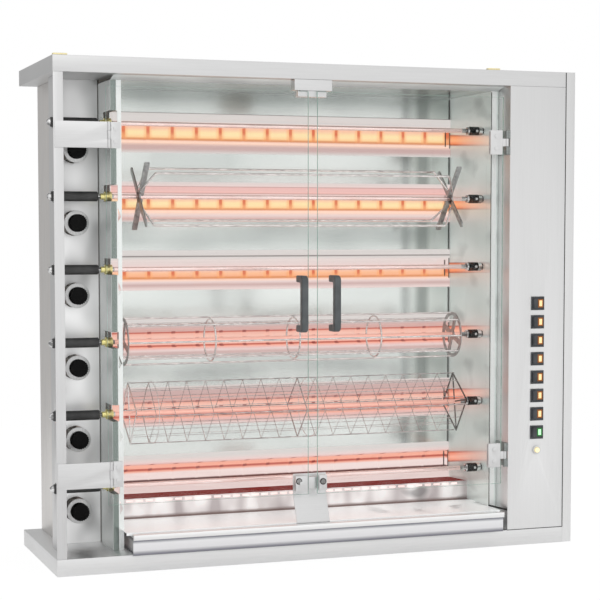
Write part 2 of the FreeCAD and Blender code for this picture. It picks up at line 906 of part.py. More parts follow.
def knuckle(axis, z0, z1):
    return rod(knuckle_radius, (axis[0], axis[1], z0), along_z, z1 - z0)


def door_fittings(side, axis, clamps, corner):
    """Moving clamp plates with the middle knuckle of each hinge, and the corner clamp."""
    solids = []
    near = min(clamps, key=lambda x: abs(x - axis[0]))
    for z0, z1 in hinge_levels:
        third = (z1 - z0) / 3
        low = z0 + third + knuckle_gap
        high = z1 - third - knuckle_gap
        arm_x = sorted((axis[0], near))
        arm_y = (min(axis[1], glass_front - plate_thick) - 0.5, glass_front)
        pieces = [
            clamp(clamps[0], clamps[1], z0, z1, hinge_screws(z0, z1)),
            knuckle(axis, low, high),
            box(arm_x[0], arm_x[1], arm_y[0], arm_y[1], low, high),
        ]
        bore = rod(pin_radius + running_gap, (axis[0], axis[1], z0), along_z, z1 - z0)
        solids.append(join(pieces).cut(bore))
    middle = sum(corner_clamp_z) / 2
    solids.append(clamp(corner[0], corner[1], corner_clamp_z[0], corner_clamp_z[1], (middle,)))
    export("door_fittings_" + side, *solids)


def hinge_brackets():
    solids = []
    for z0, z1 in hinge_levels:
        third = (z1 - z0) / 3
        for side in ("left", "right"):
            axis = left_axis if side == "left" else right_axis
            knuckles = [knuckle(axis, z0, z0 + third), knuckle(axis, z1 - third, z1)]
            pin = rod(pin_radius, (axis[0], axis[1], z0), along_z, z1 - z0)
            if side == "left":
                end = axis[0] - knuckle_radius - seam
                plate = box(left_plate_start, end, -plate_thick, 0, z0, z1)
                arms = [box(end, axis[0], -plate_thick, 0, low, low + third) for low in (z0, z1 - third)]
            else:
                plate = box(panel_left - plate_thick, panel_left, knuckle_radius + 1, chamber_front - 2, z0, z1)
                arms = [
                    box(axis[0], panel_left, -plate_thick / 2, plate_thick / 2, low, low + third)
                    for low in (z0, z1 - third)
                ]
                arms += [
                    box(panel_left - plate_thick, panel_left, 0, knuckle_radius + 1, low, low + third)
                    for low in (z0, z1 - third)
                ]
                front_cut = box(panel_left, width, -knuckle_radius, knuckle_radius, z0, z1)
                arms = [arm.cut(front_cut) for arm in arms]
            solids.append(join([plate, pin] + knuckles + arms))
    export("hinge_brackets", *solids)


def front_edges(shape, front):
    """The edges along x that lie on the plane y = front."""
    return [
        edge for edge in shape.Edges
        if edge.BoundBox.YMax < front + 0.1 and edge.BoundBox.XLength > edge.BoundBox.ZLength
    ]


def door_handle(side, x):
    """A square bar bent to a D, with two feet on the glass."""
    low = grip_middle - grip_height / 2
    high = grip_middle + grip_height / 2
    outer = box(x - grip_width / 2, x + grip_width / 2, grip_front, glass_front, low, high)
    outer = outer.makeFillet(grip_bend, front_edges(outer, grip_front))
    sides = [
        edge for edge in outer.Edges
        if edge.BoundBox.XLength < 0.1 and edge.BoundBox.YMin < glass_front - 0.1
    ]
    outer = outer.makeFillet(grip_edge, sides)
    inner_front = grip_front + grip_width
    inner = box(x - grip_width, x + grip_width, inner_front, glass_front + 1, low + grip_width, high - grip_width)
    inner = inner.makeFillet(grip_inner_bend, front_edges(inner, inner_front))
    export("door_handle_" + side, outer.cut(inner))


def door_catches():
    """A sloped lower plate and an upper block, each with a magnet strip behind the leaves."""
    foot_back = catch_front + catch_thick
    reach_back = catch_reach + catch_thick
    low_plate = [
        (catch_front, catch_low), (foot_back, catch_low), (foot_back, catch_low + catch_foot),
        (reach_back, catch_bend), (reach_back, catch_high), (catch_reach, catch_high),
        (catch_reach, catch_bend), (catch_front, catch_low + catch_foot),
    ]
    left = door_middle - catch_width / 2
    right = door_middle + catch_width / 2
    plate = slab_x(low_plate, left, right)
    magnet_z = sum(corner_clamp_z) / 2
    front = glass_back + plate_thick + magnet_gap
    buffer = box(
        left + magnet_inset, right - magnet_inset, front, catch_reach,
        magnet_z - magnet_height / 2, magnet_z + magnet_height / 2,
    )
    low = glass_top + top_catch_gap
    left = door_middle - top_catch_width / 2
    right = door_middle + top_catch_width / 2
    block = box(left, right, top_catch_front, top_catch_depth, low, tall_high)
    tab = box(
        left + top_magnet_inset, right - top_magnet_inset, glass_back + magnet_gap, top_catch_depth,
        low - magnet_height / 2, low,
    )
    export("door_catches", plate.fuse(buffer), block.fuse(tab))


# Drawer

def drip_tray():
    face = box(tray_left, tray_right, tray_face, tray_face + sheet, tray_low, tray_top - sheet)
    shelf = box(tray_left, tray_right, tray_front, lip_shelf, tray_top - sheet, tray_top)
    lip = box(tray_left, tray_right, tray_front, tray_front + sheet, tray_top - lip_height, tray_top - sheet)
    under = box(tray_left, tray_right, tray_front, tray_face, tray_top - lip_height, tray_top - lip_height + sheet)
    pan_low = base_height + runner_height + seat_gap
    pan_front = tray_face + sheet
    pan = box(pan_left, pan_right, pan_front, pan_back, pan_low, pan_top)
    inside = box(pan_left + sheet, pan_right - sheet, pan_front + sheet, pan_back - sheet, pan_low + sheet, pan_top + 1)
    export("drip_tray", join([face, shelf, lip, under, pan.cut(inside)]))


# Switches

def switch_frames():
    solids = []
    opening_width = rocker_radius + rocker_gap
    opening_height = rocker_width / 2 + rocker_gap
    pivot_radius = trunnion_radius + running_gap
    for z in switch_levels:
        flange = box(
            switch_x - bezel_width / 2, switch_x + bezel_width / 2, -bezel_proud, 0,
            z - bezel_height / 2, z + bezel_height / 2,
        )
        body = box(
            switch_x - body_width / 2, switch_x + body_width / 2, 0, bezel_depth,
            z - body_height / 2, z + body_height / 2,
        )
        opening = box(
            switch_x - opening_width, switch_x + opening_width, -bezel_proud - 1,
            rocker_pivot + rocker_radius + rocker_gap, z - opening_height, z + opening_height,
        )
        start = (switch_x, rocker_pivot, z - body_height / 2)
        pivots = rod(pivot_radius, start, along_z, body_height)
        solids.append(flange.fuse(body).cut(opening).cut(pivots))
    collar = rod(collar_radius, (switch_x, -collar_proud, button_z), along_y, collar_proud)
    neck = rod(collar_neck, (switch_x, 0, button_z), along_y, button_back + sheet)
    hole = rod(button_radius + button_gap, (switch_x, -collar_proud - 1, button_z), along_y, 4 * button_back)
    solids.append(collar.fuse(neck).cut(hole))
    export("switch_frames", *solids)


def rockers():
    """Each rocker turns on an upright pin and rests with its right end pushed in."""
    half = rocker_width / 2
    for number, z in enumerate(switch_levels, 1):
        outline = [
            (switch_x, rocker_pivot - rocker_valley),
            (switch_x + rocker_radius, rocker_pivot - rocker_crest),
            (switch_x + rocker_radius, rocker_pivot + rocker_back),
            (switch_x - rocker_radius, rocker_pivot + rocker_back),
            (switch_x - rocker_radius, rocker_pivot - rocker_crest),
        ]
        button = slab_z(outline, z - half, z + half)
        button = button.common(rod(rocker_radius, (switch_x, rocker_pivot, z - half), along_z, rocker_width))
        pin_start = (switch_x, rocker_pivot, z - half - trunnion_reach)
        pin = rod(trunnion_radius, pin_start, along_z, rocker_width + 2 * trunnion_reach)
        button = button.fuse(pin)
        button.rotate(FreeCAD.Vector(switch_x, rocker_pivot, z), along_z, rocker_tilt)
        export("rocker_%d" % number, button)


def ignition_button():
    cap = rod(button_radius, (switch_x, button_front, button_z), along_y, button_back - button_front)
    cap = cap.makeFillet(1.0, [edge for edge in cap.Edges if edge.BoundBox.YMax < button_front + 0.1])
    export("ignition_button", cap)


# Small fittings

def cable_gland():
    start = (gland_x, depth - sheet, gland_z)
    body = rod(gland_radius, (gland_x, depth - 6 * sheet, gland_z), along_y, gland_reach + 6 * sheet)
    nut = [
        (
            gland_x + gland_nut / math.sqrt(3) * math.cos(math.radians(60 * corner)),
            depth + body_gap,
            gland_z + gland_nut / math.sqrt(3) * math.sin(math.radians(60 * corner)),
        )
        for corner in range(6)
    ]
    outer_nut = face_of(nut).extrude(along_y * gland_reach / 3)
    lock_nut = outer_nut.copy()
    lock_nut.translate(along_y * -(gland_reach / 3 + sheet + 2 * body_gap))
    hole = rod(gland_radius / 2, (gland_x, start[1] - 6 * sheet, gland_z), along_y, 2 * gland_reach)
    export("cable_gland", join([body, outer_nut, lock_nut]).cut(hole))


def roof_plugs():
    plugs = [
        box(x, x + plug_size[0], plug_inset, plug_inset + plug_size[1], height, height + plug_size[2])
        for x in (left_plug_x, chamber_right - right_plug_inset)
    ]
    export("roof_plugs", *plugs)


os.makedirs("parts", exist_ok=True)
base_slab()
roof_slab()
right_end_panel()
left_front_post()
left_side_panel()
rear_panel()
control_panel()
chamber_lining()
chamber_left_wall()
chamber_right_wall()
drip_floor()
knob_panel()
burner_bodies()
burner_tiles()
gas_train()
dial_plates()
knobs()
spits()
spit_handles()
spit_rests()
drive_motors()
cradle()
rod_basket()
mesh_basket()
glass_leaf("left", left_glass, left_clamp, left_corner_clamp)
glass_leaf("right", right_glass, right_clamp, right_corner_clamp)
door_fittings("left", left_axis, left_clamp, left_corner_clamp)
door_fittings("right", right_axis, right_clamp, right_corner_clamp)
hinge_brackets()
door_handle("left", left_glass[1] - left_grip_inset)
door_handle("right", right_glass[0] + right_grip_inset)
door_catches()
drip_tray()
switch_frames()
rockers()
ignition_button()
cable_gland()
roof_plugs()
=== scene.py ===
import json
import math

import bmesh
import bpy
from mathutils import Matrix, Vector
from mathutils.bvhtree import BVHTree


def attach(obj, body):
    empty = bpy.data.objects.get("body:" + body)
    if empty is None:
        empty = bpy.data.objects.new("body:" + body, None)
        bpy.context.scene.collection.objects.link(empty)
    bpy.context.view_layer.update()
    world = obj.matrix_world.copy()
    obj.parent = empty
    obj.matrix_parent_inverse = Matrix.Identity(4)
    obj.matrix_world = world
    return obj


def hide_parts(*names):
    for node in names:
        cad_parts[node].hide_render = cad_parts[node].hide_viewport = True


# Gas chicken rotisserie. Sizes are in millimetres from the case's front left bottom corner,
# as a workshop measures it; at() turns them into the scene's metres.

cabinet = {"width": 1200.0, "frontReach": 39.0, "rearReach": 402.0}
levels = {"top": 946.0, "pitch": 155.5, "count": 6, "spitY": 106.0}
rowNumbers = range(1, levels["count"] + 1)

print("loading the frame")
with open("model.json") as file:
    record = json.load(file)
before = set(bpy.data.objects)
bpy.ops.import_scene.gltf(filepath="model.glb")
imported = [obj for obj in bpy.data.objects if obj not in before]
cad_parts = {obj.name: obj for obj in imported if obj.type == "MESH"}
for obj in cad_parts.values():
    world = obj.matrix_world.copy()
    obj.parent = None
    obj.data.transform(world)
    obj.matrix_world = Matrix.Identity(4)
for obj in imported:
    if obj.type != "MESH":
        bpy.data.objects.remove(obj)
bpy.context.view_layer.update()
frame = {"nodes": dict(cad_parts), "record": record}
cadNodes = frame["nodes"]


def at(x, y, z):
    midDepth = (cabinet["rearReach"] - cabinet["frontReach"]) / 2
    return Vector(((x - cabinet["width"] / 2) / 1000, (y - midDepth) / 1000, z / 1000))


def levelZ(number):
    return levels["top"] - levels["pitch"] * (number - 1)


def newObject(name, data):
    obj = bpy.data.objects.new(name, data)
    bpy.context.scene.collection.objects.link(obj)
    return obj


# Nodes

white = "#FFFFFF"
noiseSpan = (0.3, 0.7)  # most of a noise's values lie between these


def hexColour(text):
    # sRGB hex to the linear values that shaders take
    parts = [int(text[i:i + 2], 16) / 255 for i in (1, 3, 5)]
    linear = [p / 12.92 if p <= 0.04045 else ((p + 0.055) / 1.055) ** 2.4 for p in parts]
    return (*linear, 1.0)


def addNode(tree, kind, values=None):
    # a value that is a socket is linked, a hex text is a colour, the rest are properties or numbers
    node = tree.nodes.new(kind)
    for name, value in (values or {}).items():
        if isinstance(value, bpy.types.NodeSocket):
            tree.links.new(value, node.inputs[name])
        elif isinstance(name, str) and hasattr(node, name):
            setattr(node, name, value)
        else:
            node.inputs[name].default_value = hexColour(value) if isinstance(value, str) else value
    return node


def emptyTree(holder):
    holder.use_nodes = True
    holder.node_tree.nodes.clear()
    return holder.node_tree


def maths(tree, operation, *terms):
    return addNode(tree, "ShaderNodeMath", {"operation": operation, **dict(enumerate(terms))}).outputs[0]


def blend(tree, share, first, second):
    values = {"data_type": "RGBA", "Factor": share, "A": first, "B": second}
    return addNode(tree, "ShaderNodeMix", values).outputs["Result"]


def mixShaders(tree, share, first, second):
    return addNode(tree, "ShaderNodeMixShader", {0: share, 1: first, 2: second}).outputs[0]


def ranged(tree, source, low, high, fromLow=0.0, fromHigh=1.0):
    values = {"Value": source, "From Min": fromLow, "From Max": fromHigh, "To Min": low, "To Max": high}
    return addNode(tree, "ShaderNodeMapRange", values).outputs[0]


def rampOf(tree, source, stops):
    ramp = addNode(tree, "ShaderNodeValToRGB", {"Fac": source})
    while len(ramp.color_ramp.elements) < len(stops):
        ramp.color_ramp.elements.new(0.5)
    for element, (place, colour) in zip(ramp.color_ramp.elements, stops):
        element.position = place
        element.color = hexColour(colour)
    return ramp.outputs["Color"]


def objectPlace(tree):
    return addNode(tree, "ShaderNodeTexCoord").outputs["Object"]


def placeOf(tree, axes):
    # the named ones of X, Y and Z, in the case's own millimetres
    values = {"operation": "MULTIPLY_ADD", 0: objectPlace(tree), 1: (1000, 1000, 1000), 2: -1000 * at(0, 0, 0)}
    scaled = addNode(tree, "ShaderNodeVectorMath", values).outputs[0]
    place = addNode(tree, "ShaderNodeSeparateXYZ", {0: scaled}).outputs
    return [place[axis] for axis in axes]


def grainNoise(tree, sizeMm, detail=1.0):
    # noise whose grains are sizeMm long along X, Y and Z
    scale = [1000 / size for size in sizeMm]
    grains = addNode(tree, "ShaderNodeMapping", {"Vector": objectPlace(tree), "Scale": scale}).outputs[0]
    values = {"Vector": grains, "Scale": 1.0, "Detail": detail}
    return addNode(tree, "ShaderNodeTexNoise", values).outputs["Fac"]


def grained(tree, noise, low, high):
    return ranged(tree, noise, low, high, *noiseSpan)


def tinted(tree, noise, dark, light):
    return rampOf(tree, noise, tuple(zip(noiseSpan, (dark, light))))


# Camera, light and floor

camera = {
    "place": (-1.27863, -3.56574, 0.71565), "turn": (86.3444, 0.0285, -19.5562),
    "lens": 99.94, "sensor": 36.0, "shift": (0.0083, 0.0634), "clipEnd": 50.0,
}
studio = {
    "front": 1.0, "back": 0.5, "left": 0.06, "top": 0.06,
    "lampPower": 5.0, "lampSize": (2.4, 1.6), "lampPlace": (-1.6, -2.6, 2.6), "lampAim": (0.0, 0.0, 0.5),
}
ground = {
    "radius": 2.6, "fadeFrom": 1.3, "segments": 96, "matte": (0.9, 0.9, 0.9, 1.0),
    "glow": 1.07, "glowSeen": 0.85, "glowBounced": 0.4,
}


def makeCamera():
    data = bpy.data.cameras.new("photoCamera")
    data.lens = camera["lens"]
    data.sensor_width = camera["sensor"]
    data.shift_x, data.shift_y = camera["shift"]
    data.clip_end = camera["clipEnd"]
    obj = newObject("photoCamera", data)
    obj.location = camera["place"]
    obj.rotation_euler = [math.radians(angle) for angle in camera["turn"]]
    bpy.context.scene.camera = obj


def cameraRay(tree):
    return addNode(tree, "ShaderNodeLightPath").outputs["Is Camera Ray"]


def makeStudio():
    scene = bpy.context.scene
    scene.view_settings.view_transform = "Standard"
    scene.world = bpy.data.worlds.new("paleStudio")
    tree = emptyTree(scene.world)
    generated = addNode(tree, "ShaderNodeTexCoord").outputs["Generated"]
    skyX, skyY, skyZ = addNode(tree, "ShaderNodeSeparateXYZ", {0: generated}).outputs
    depth = ranged(tree, skyY, studio["front"], studio["back"], -1.0, 1.0)
    side = maths(tree, "MULTIPLY_ADD", skyX, studio["left"], depth)
    level = maths(tree, "MULTIPLY_ADD", skyZ, studio["top"], side)
    light = addNode(tree, "ShaderNodeBackground", {"Color": white, "Strength": level}).outputs[0]
    backdrop = addNode(tree, "ShaderNodeBackground", {"Color": white, "Strength": 1.0}).outputs[0]
    addNode(tree, "ShaderNodeOutputWorld", {"Surface": mixShaders(tree, cameraRay(tree), light, backdrop)})
    lamp = bpy.data.lights.new("softBox", "AREA")
    lamp.shape = "RECTANGLE"
    lamp.size, lamp.size_y = studio["lampSize"]
    lamp.energy = studio["lampPower"]
    obj = newObject("softBox", lamp)
    obj.location = studio["lampPlace"]
    aim = Vector(studio["lampAim"]) - Vector(studio["lampPlace"])
    obj.rotation_euler = aim.to_track_quat("-Z", "Y").to_euler()


def makeFloor():
    shape = bmesh.new()
    bmesh.ops.create_circle(shape, cap_ends=True, radius=ground["radius"], segments=ground["segments"])
    mesh = bpy.data.meshes.new("floor")
    shape.to_mesh(mesh)
    shape.free()
    floor = newObject("floor", mesh)
    material = bpy.data.materials.new("paleFloor")
    tree = emptyTree(material)
    values = {"operation": "LENGTH", 0: objectPlace(tree)}
    distance = addNode(tree, "ShaderNodeVectorMath", values).outputs["Value"]
    fade = ranged(tree, distance, 0.0, 1.0, ground["fadeFrom"], ground["radius"])
    matte = addNode(tree, "ShaderNodeBsdfDiffuse", {"Color": ground["matte"]}).outputs[0]
    glow = addNode(tree, "ShaderNodeEmission", {"Color": white, "Strength": ground["glow"]}).outputs[0]
    bounced = mixShaders(tree, ground["glowBounced"], matte, glow)
    seen = mixShaders(tree, ground["glowSeen"], matte, glow)
    shown = mixShaders(tree, cameraRay(tree), bounced, seen)
    clear = addNode(tree, "ShaderNodeBsdfTransparent").outputs[0]
    addNode(tree, "ShaderNodeOutputMaterial", {"Surface": mixShaders(tree, fade, shown, clear)})
    mesh.materials.append(material)


print("camera, studio and floor")
makeCamera()
makeStudio()
makeFloor()


# Materials. Each look adds its nodes to a tree and gives the values of the shader.

def makeMaterial(name, look, *settings):
    material = bpy.data.materials.new(name)
    tree = emptyTree(material)
    shader = addNode(tree, "ShaderNodeBsdfPrincipled", look(tree, *settings))
    addNode(tree, "ShaderNodeOutputMaterial", {"Surface": shader.outputs[0]})
    return material


def litBy(colour, strength):
    return {"Base Color": colour, "Emission Color": colour, "Emission Strength": strength}


def brushedStainless(tree, light, dark, roughness, grainMm, spread=0.02, paintedFloorLight=0.0):
    # cold-rolled 304 sheet or bar, brushed: a soft even sheen with faint streaks along the grain;
    # real scratches are 0.05 mm, drawn coarser so that they show
    grain = grainNoise(tree, grainMm, 2.0)
    shade = grain
    # painted light from the floor: the sheet is paler at its foot than at its head
    if paintedFloorLight:  # paler at its foot than at its head
        height = ranged(tree, *placeOf(tree, "Z"), paintedFloorLight, -paintedFloorLight, 0.0, 1000.0)
        shade = maths(tree, "ADD", grained(tree, grain, 0.48, 0.52), height)
    return {
        "Metallic": 1.0, "Base Color": tinted(tree, shade, dark, light),
        "Roughness": grained(tree, grain, roughness - spread, roughness + spread),
    }


def softBar(tree, source, centre, half, depth, soft):
    # a factor for a painted dark stripe with soft sides, as polished sheet mirrors it; the lining uses it for
    # painted reflections and for painted shade
    away = maths(tree, "ABSOLUTE", maths(tree, "SUBTRACT", source, centre))
    return ranged(tree, away, depth, 0.0, half - soft, half + soft)


lining = {
    "cloudMm": (230, 260, 100), "topFrom": 975.0, "topTo": 1020.0, "topPaintedShade": -0.22,
    "paintedShadeBands": ((705.0, 34.0, 0.17), (402.0, 30.0, 0.13)), "bandSoft": 24.0,
    "bars": ((905.0, 10.0, 0.42), (950.0, 15.0, 0.58)), "barSoft": 7.0, "paintedLightFrom": 550.0, "paintedLightTo": 950.0,
}


def mirrorLining(tree):
    # mirror-polished 304 lining: pale and even, with painted shade at its top, two faint level stripes of painted
    # shade, two soft dark stripes on the right as painted reflections, and painted light as emission that grows
    # towards its foot
    x, z = placeOf(tree, "XZ")
    cloud = grainNoise(tree, lining["cloudMm"])
    # painted shade at the top of the lining
    top = ranged(tree, z, 0.0, lining["topPaintedShade"], lining["topFrom"], lining["topTo"])
    shade = maths(tree, "ADD", grained(tree, cloud, 0.42, 0.60), top)
    # painted shade in two level stripes
    for band in lining["paintedShadeBands"]:
        shade = maths(tree, "SUBTRACT", shade, softBar(tree, z, *band, lining["bandSoft"]))
    plain = rampOf(tree, shade, ((0.26, "#A9AEAB"), (0.46, "#D3D7D4"), (0.66, "#E3E6E3")))
    # painted reflections: two soft dark stripes
    bars = [softBar(tree, x, *bar, lining["barSoft"]) for bar in lining["bars"]]
    tone = blend(tree, maths(tree, "MAXIMUM", *bars), plain, "#6F7472")
    # painted light: emission that grows towards the foot
    glow = ranged(tree, z, 0.16, 0.05, lining["paintedLightFrom"], lining["paintedLightTo"])
    return {**litBy(tone, glow), "Metallic": 1.0, "Roughness": grained(tree, cloud, 0.16, 0.24)}


walls = {
    "cloudMm": (160, 160, 130), "darkReflectionsMm": (200, 110, 60), "stripTo": 62.2,
    "casingTo": 134.0, "innerFrom": 146.0, "rightLipTo": 1032.5,
}
paintedBurnerReflections = {
    "centre": -8.0, "half": 12.0, "soft": 2.5, "rim": 1.0, "eyeZ": 716.0, "reach": 3730.0,
    "backY": 345.0, "fadeFrom": 70.0, "fadeTo": 250.0, "paleBelow": 550.0,
}


def wallSteel(tree):
    # polished left wall: its folded front strip is brushed and bright, the casing beside it is dull, the sheet
    # between them is painted dark as painted shade, and all of it has a faint painted light as emission, strongest
    # on the casing
    x, y = placeOf(tree, "XY")
    inner = maths(tree, "GREATER_THAN", x, walls["innerFrom"])
    casing = maths(tree, "LESS_THAN", x, walls["casingTo"])
    strip = maths(tree, "MULTIPLY", maths(tree, "LESS_THAN", y, walls["stripTo"]), inner)
    mirror = tinted(tree, grainNoise(tree, walls["cloudMm"]), "#C4C9C5", "#EDF0ED")
    # painted shade: dark grey-green between the casing and the inner wall
    tone = blend(tree, inner, "#838D88", mirror)
    tone = blend(tree, casing, tone, "#B0B3B1")
    return {
        "Base Color": blend(tree, strip, tone, "#F0F3F1"), "Metallic": ranged(tree, casing, 1.0, 0.5),
        "Roughness": ranged(tree, strip, 0.20, 0.42),
        # painted light as emission, stronger on the casing
        "Emission Color": "#E6ECE9", "Emission Strength": ranged(tree, casing, 0.03, 0.10),
    }


def rightWallSteel(tree):
    # polished right wall: pale, with painted reflections of blurred dark shapes and a soft painted reflection of
    # each burner, lit as emission
    x, y, z = placeOf(tree, "XYZ")
    front = maths(tree, "LESS_THAN", y, walls["stripTo"])
    strip = maths(tree, "MULTIPLY", front, maths(tree, "LESS_THAN", x, walls["rightLipTo"]))
    plain = tinted(tree, grainNoise(tree, walls["cloudMm"]), "#CDD6D2", "#E4EBE8")
    # painted reflections of blurred dark shapes
    darkReflections = ranged(tree, grainNoise(tree, walls["darkReflectionsMm"]), 0.0, 0.55, 0.56, 0.72)
    shaded = blend(tree, darkReflections, plain, "#959C99")
    # the painted reflections of the burners run level as the burners do, so they draw together towards the front
    away = maths(tree, "SUBTRACT", paintedBurnerReflections["backY"], y)
    spread = maths(tree, "MULTIPLY_ADD", away, 1 / paintedBurnerReflections["reach"], 1.0)
    levelled = maths(tree, "MULTIPLY", maths(tree, "SUBTRACT", z, paintedBurnerReflections["eyeZ"]), spread)
    start = paintedBurnerReflections["eyeZ"] - levelZ(levels["count"]) - paintedBurnerReflections["centre"]
    apart = maths(tree, "PINGPONG", maths(tree, "ADD", levelled, start), levels["pitch"] / 2)
    band = ranged(tree, apart, 1.0, 0.0, paintedBurnerReflections["half"], paintedBurnerReflections["half"] + paintedBurnerReflections["soft"])
    across = ranged(tree, apart, 0.0, 1.0, 0.0, paintedBurnerReflections["half"] + paintedBurnerReflections["rim"])
    deep = rampOf(tree, across, ((0.0, "#E8A47A"), (0.55, "#DE8A60"), (0.80, "#B9613E"), (1.0, "#7E4636")))
    pale = rampOf(tree, across, ((0.0, "#EDB7A0"), (0.55, "#E39A80"), (0.80, "#BC6852"), (1.0, "#84483C")))
    glow = blend(tree, maths(tree, "LESS_THAN", z, paintedBurnerReflections["paleBelow"]), deep, pale)
    # they fade towards the front, and the front strip has none
    fade = ranged(tree, y, 0.25, 1.0, paintedBurnerReflections["fadeFrom"], paintedBurnerReflections["fadeTo"])
    inside = maths(tree, "SUBTRACT", 1.0, front)
    share = maths(tree, "MULTIPLY", maths(tree, "MULTIPLY", band, fade), inside)
    tone = blend(tree, strip, blend(tree, share, shaded, glow), "#ECEFED")
    # painted light: the burners' painted reflections glow as emission
    return {**litBy(tone, ranged(tree, share, 0.17, 0.50)), "Metallic": 0.45, "Roughness": 0.30}


ceiling = {"cloudMm": (120, 60, 60), "litFrom": 27.0, "litTo": 63.0}


def ceilingSheet(tree):
    # pale sheet of the ceiling's front lip, with painted light from the chamber below as emission, brighter at its
    # front
    (y,) = placeOf(tree, "Y")
    colour = tinted(tree, grainNoise(tree, ceiling["cloudMm"]), "#B9BCBB", "#CBCECD")
    glow = ranged(tree, y, 0.46, 0.26, ceiling["litFrom"], ceiling["litTo"])
    return {**litBy(colour, glow), "Metallic": 0.3, "Roughness": 0.5}


drain = {
    "deckMm": (200, 120, 120), "patchMm": (44, 300, 120), "shapesMm": (90, 70, 60), "riserFrom": 177.5,
    "slopeFrom": 180.2, "bendFrom": 166.0, "bendLow": 83.5, "bendHigh": 90.5, "shapesFrom": 640.0, "shapesTo": 900.0,
}


def drainSteel(tree):
    # polished floor sheet with painted light as emission: a plain bright deck, a riser with soft painted
    # reflections, painted shade low in the bend, and a back slope painted dark red as a painted reflection; on the
    # right, painted reflections of soft dark shapes
    x, y, z = placeOf(tree, "XYZ")
    deck = tinted(tree, grainNoise(tree, drain["deckMm"]), "#E9EBEB", "#F6F8F8")
    riserReflections = grainNoise(tree, drain["patchMm"])
    riser = rampOf(tree, riserReflections, ((0.32, "#B4ABAB"), (0.50, "#DAD4D3"), (0.66, "#F8F5F4")))
    onRiser = maths(tree, "GREATER_THAN", y, drain["riserFrom"])
    onSlope = maths(tree, "GREATER_THAN", y, drain["slopeFrom"])
    # painted shade at the bend between the deck and the riser
    lowDown = ranged(tree, z, 1.0, 0.0, drain["bendLow"], drain["bendHigh"])
    bend = maths(tree, "MULTIPLY", maths(tree, "GREATER_THAN", y, drain["bendFrom"]), lowDown)
    # painted reflections of soft dark shapes on the right
    darkReflections = ranged(tree, grainNoise(tree, drain["shapesMm"]), 0.0, 0.7, 0.54, 0.66)
    aside = ranged(tree, x, 0.0, 1.0, drain["shapesFrom"], drain["shapesTo"])
    tone = blend(tree, onRiser, deck, riser)
    tone = blend(tree, bend, tone, "#85736F")
    tone = blend(tree, maths(tree, "MULTIPLY", darkReflections, aside), tone, "#5D5A5B")
    tone = blend(tree, onSlope, tone, "#7E1F18")
    return {
        # painted light as emission
        **litBy(tone, ranged(tree, onSlope, 0.26, 0.22)), "Metallic": ranged(tree, onSlope, 0.45, 0.0),
        "Roughness": ranged(tree, onSlope, 0.34, 0.60), "Specular IOR Level": ranged(tree, onSlope, 0.5, 0.0),
    }


tray = {
    "foot": 37.0, "head": 81.0, "grainMm": (120, 4, 4),
    "shades": (
        (0.0, "#74747C"), (0.10, "#9C9CA4"), (0.26, "#F2F2F4"), (0.58, "#FAFAFC"),
        (0.70, "#A0A1A8"), (0.745, "#85868E"), (0.76, "#F4F4F4"), (1.0, "#FCFCFC"),
    ),
}


def shadedTray(tree):
    # folded tray front: a painted highlight on its lip, with a soft painted shade under the lip and along the lower
    # edge
    (z,) = placeOf(tree, "Z")
    grain = grainNoise(tree, tray["grainMm"], 2.0)
    heightAndGrain = maths(tree, "MULTIPLY_ADD", grain, 0.04, ranged(tree, z, 0.0, 1.0, tray["foot"], tray["head"]))
    return {
        "Metallic": 1.0, "Base Color": rampOf(tree, heightAndGrain, tray["shades"]),
        "Roughness": grained(tree, grain, 0.30, 0.36),
    }


knobWall = {"cloudMm": (75, 75, 110), "gapShadowFrom": 131.4, "paintedLightFrom": 600.0, "paintedLightTo": 850.0}


def mottledPanel(tree):
    # knob panel of brushed sheet, mottled darker and lighter, with painted light as emission that grows towards its
    # foot, and a dark painted gap shadow at its right edge
    x, z = placeOf(tree, "XZ")
    cloud = grainNoise(tree, knobWall["cloudMm"])
    base = rampOf(tree, cloud, ((0.30, "#A4A4A4"), (0.46, "#CECECE"), (0.72, "#E9E9E9")))
    # painted shadow in the gap at the right edge
    tone = blend(tree, maths(tree, "GREATER_THAN", x, knobWall["gapShadowFrom"]), base, "#575453")
    # painted light as emission, growing towards the foot
    glow = ranged(tree, z, 0.24, 0.0, knobWall["paintedLightFrom"], knobWall["paintedLightTo"])
    return {**litBy(tone, glow), "Metallic": 1.0, "Roughness": grained(tree, cloud, 0.38, 0.32)}


# Each burner's look from its foot to its head. "lit" is the window from low to high over the
# spit's level, "window" gives its tones from top (0) to foot (1), "around" the tones at heights
# outside it, on the hood, which are painted light and painted shade, and "dots" the rows of dots
# that stand for the dividers of the lower burners.
burners = {
    "left": 165.3, "right": 1022.55, "tiles": 15, "foot": -54.0, "head": 40.0,
    "divider": 4.2, "dotHalf": (5.0, 2.6), "holeMm": 3.2, "glow": 0.98, "paintedHoodLight": 0.93, "rimFade": (3.0, 12.0),
}
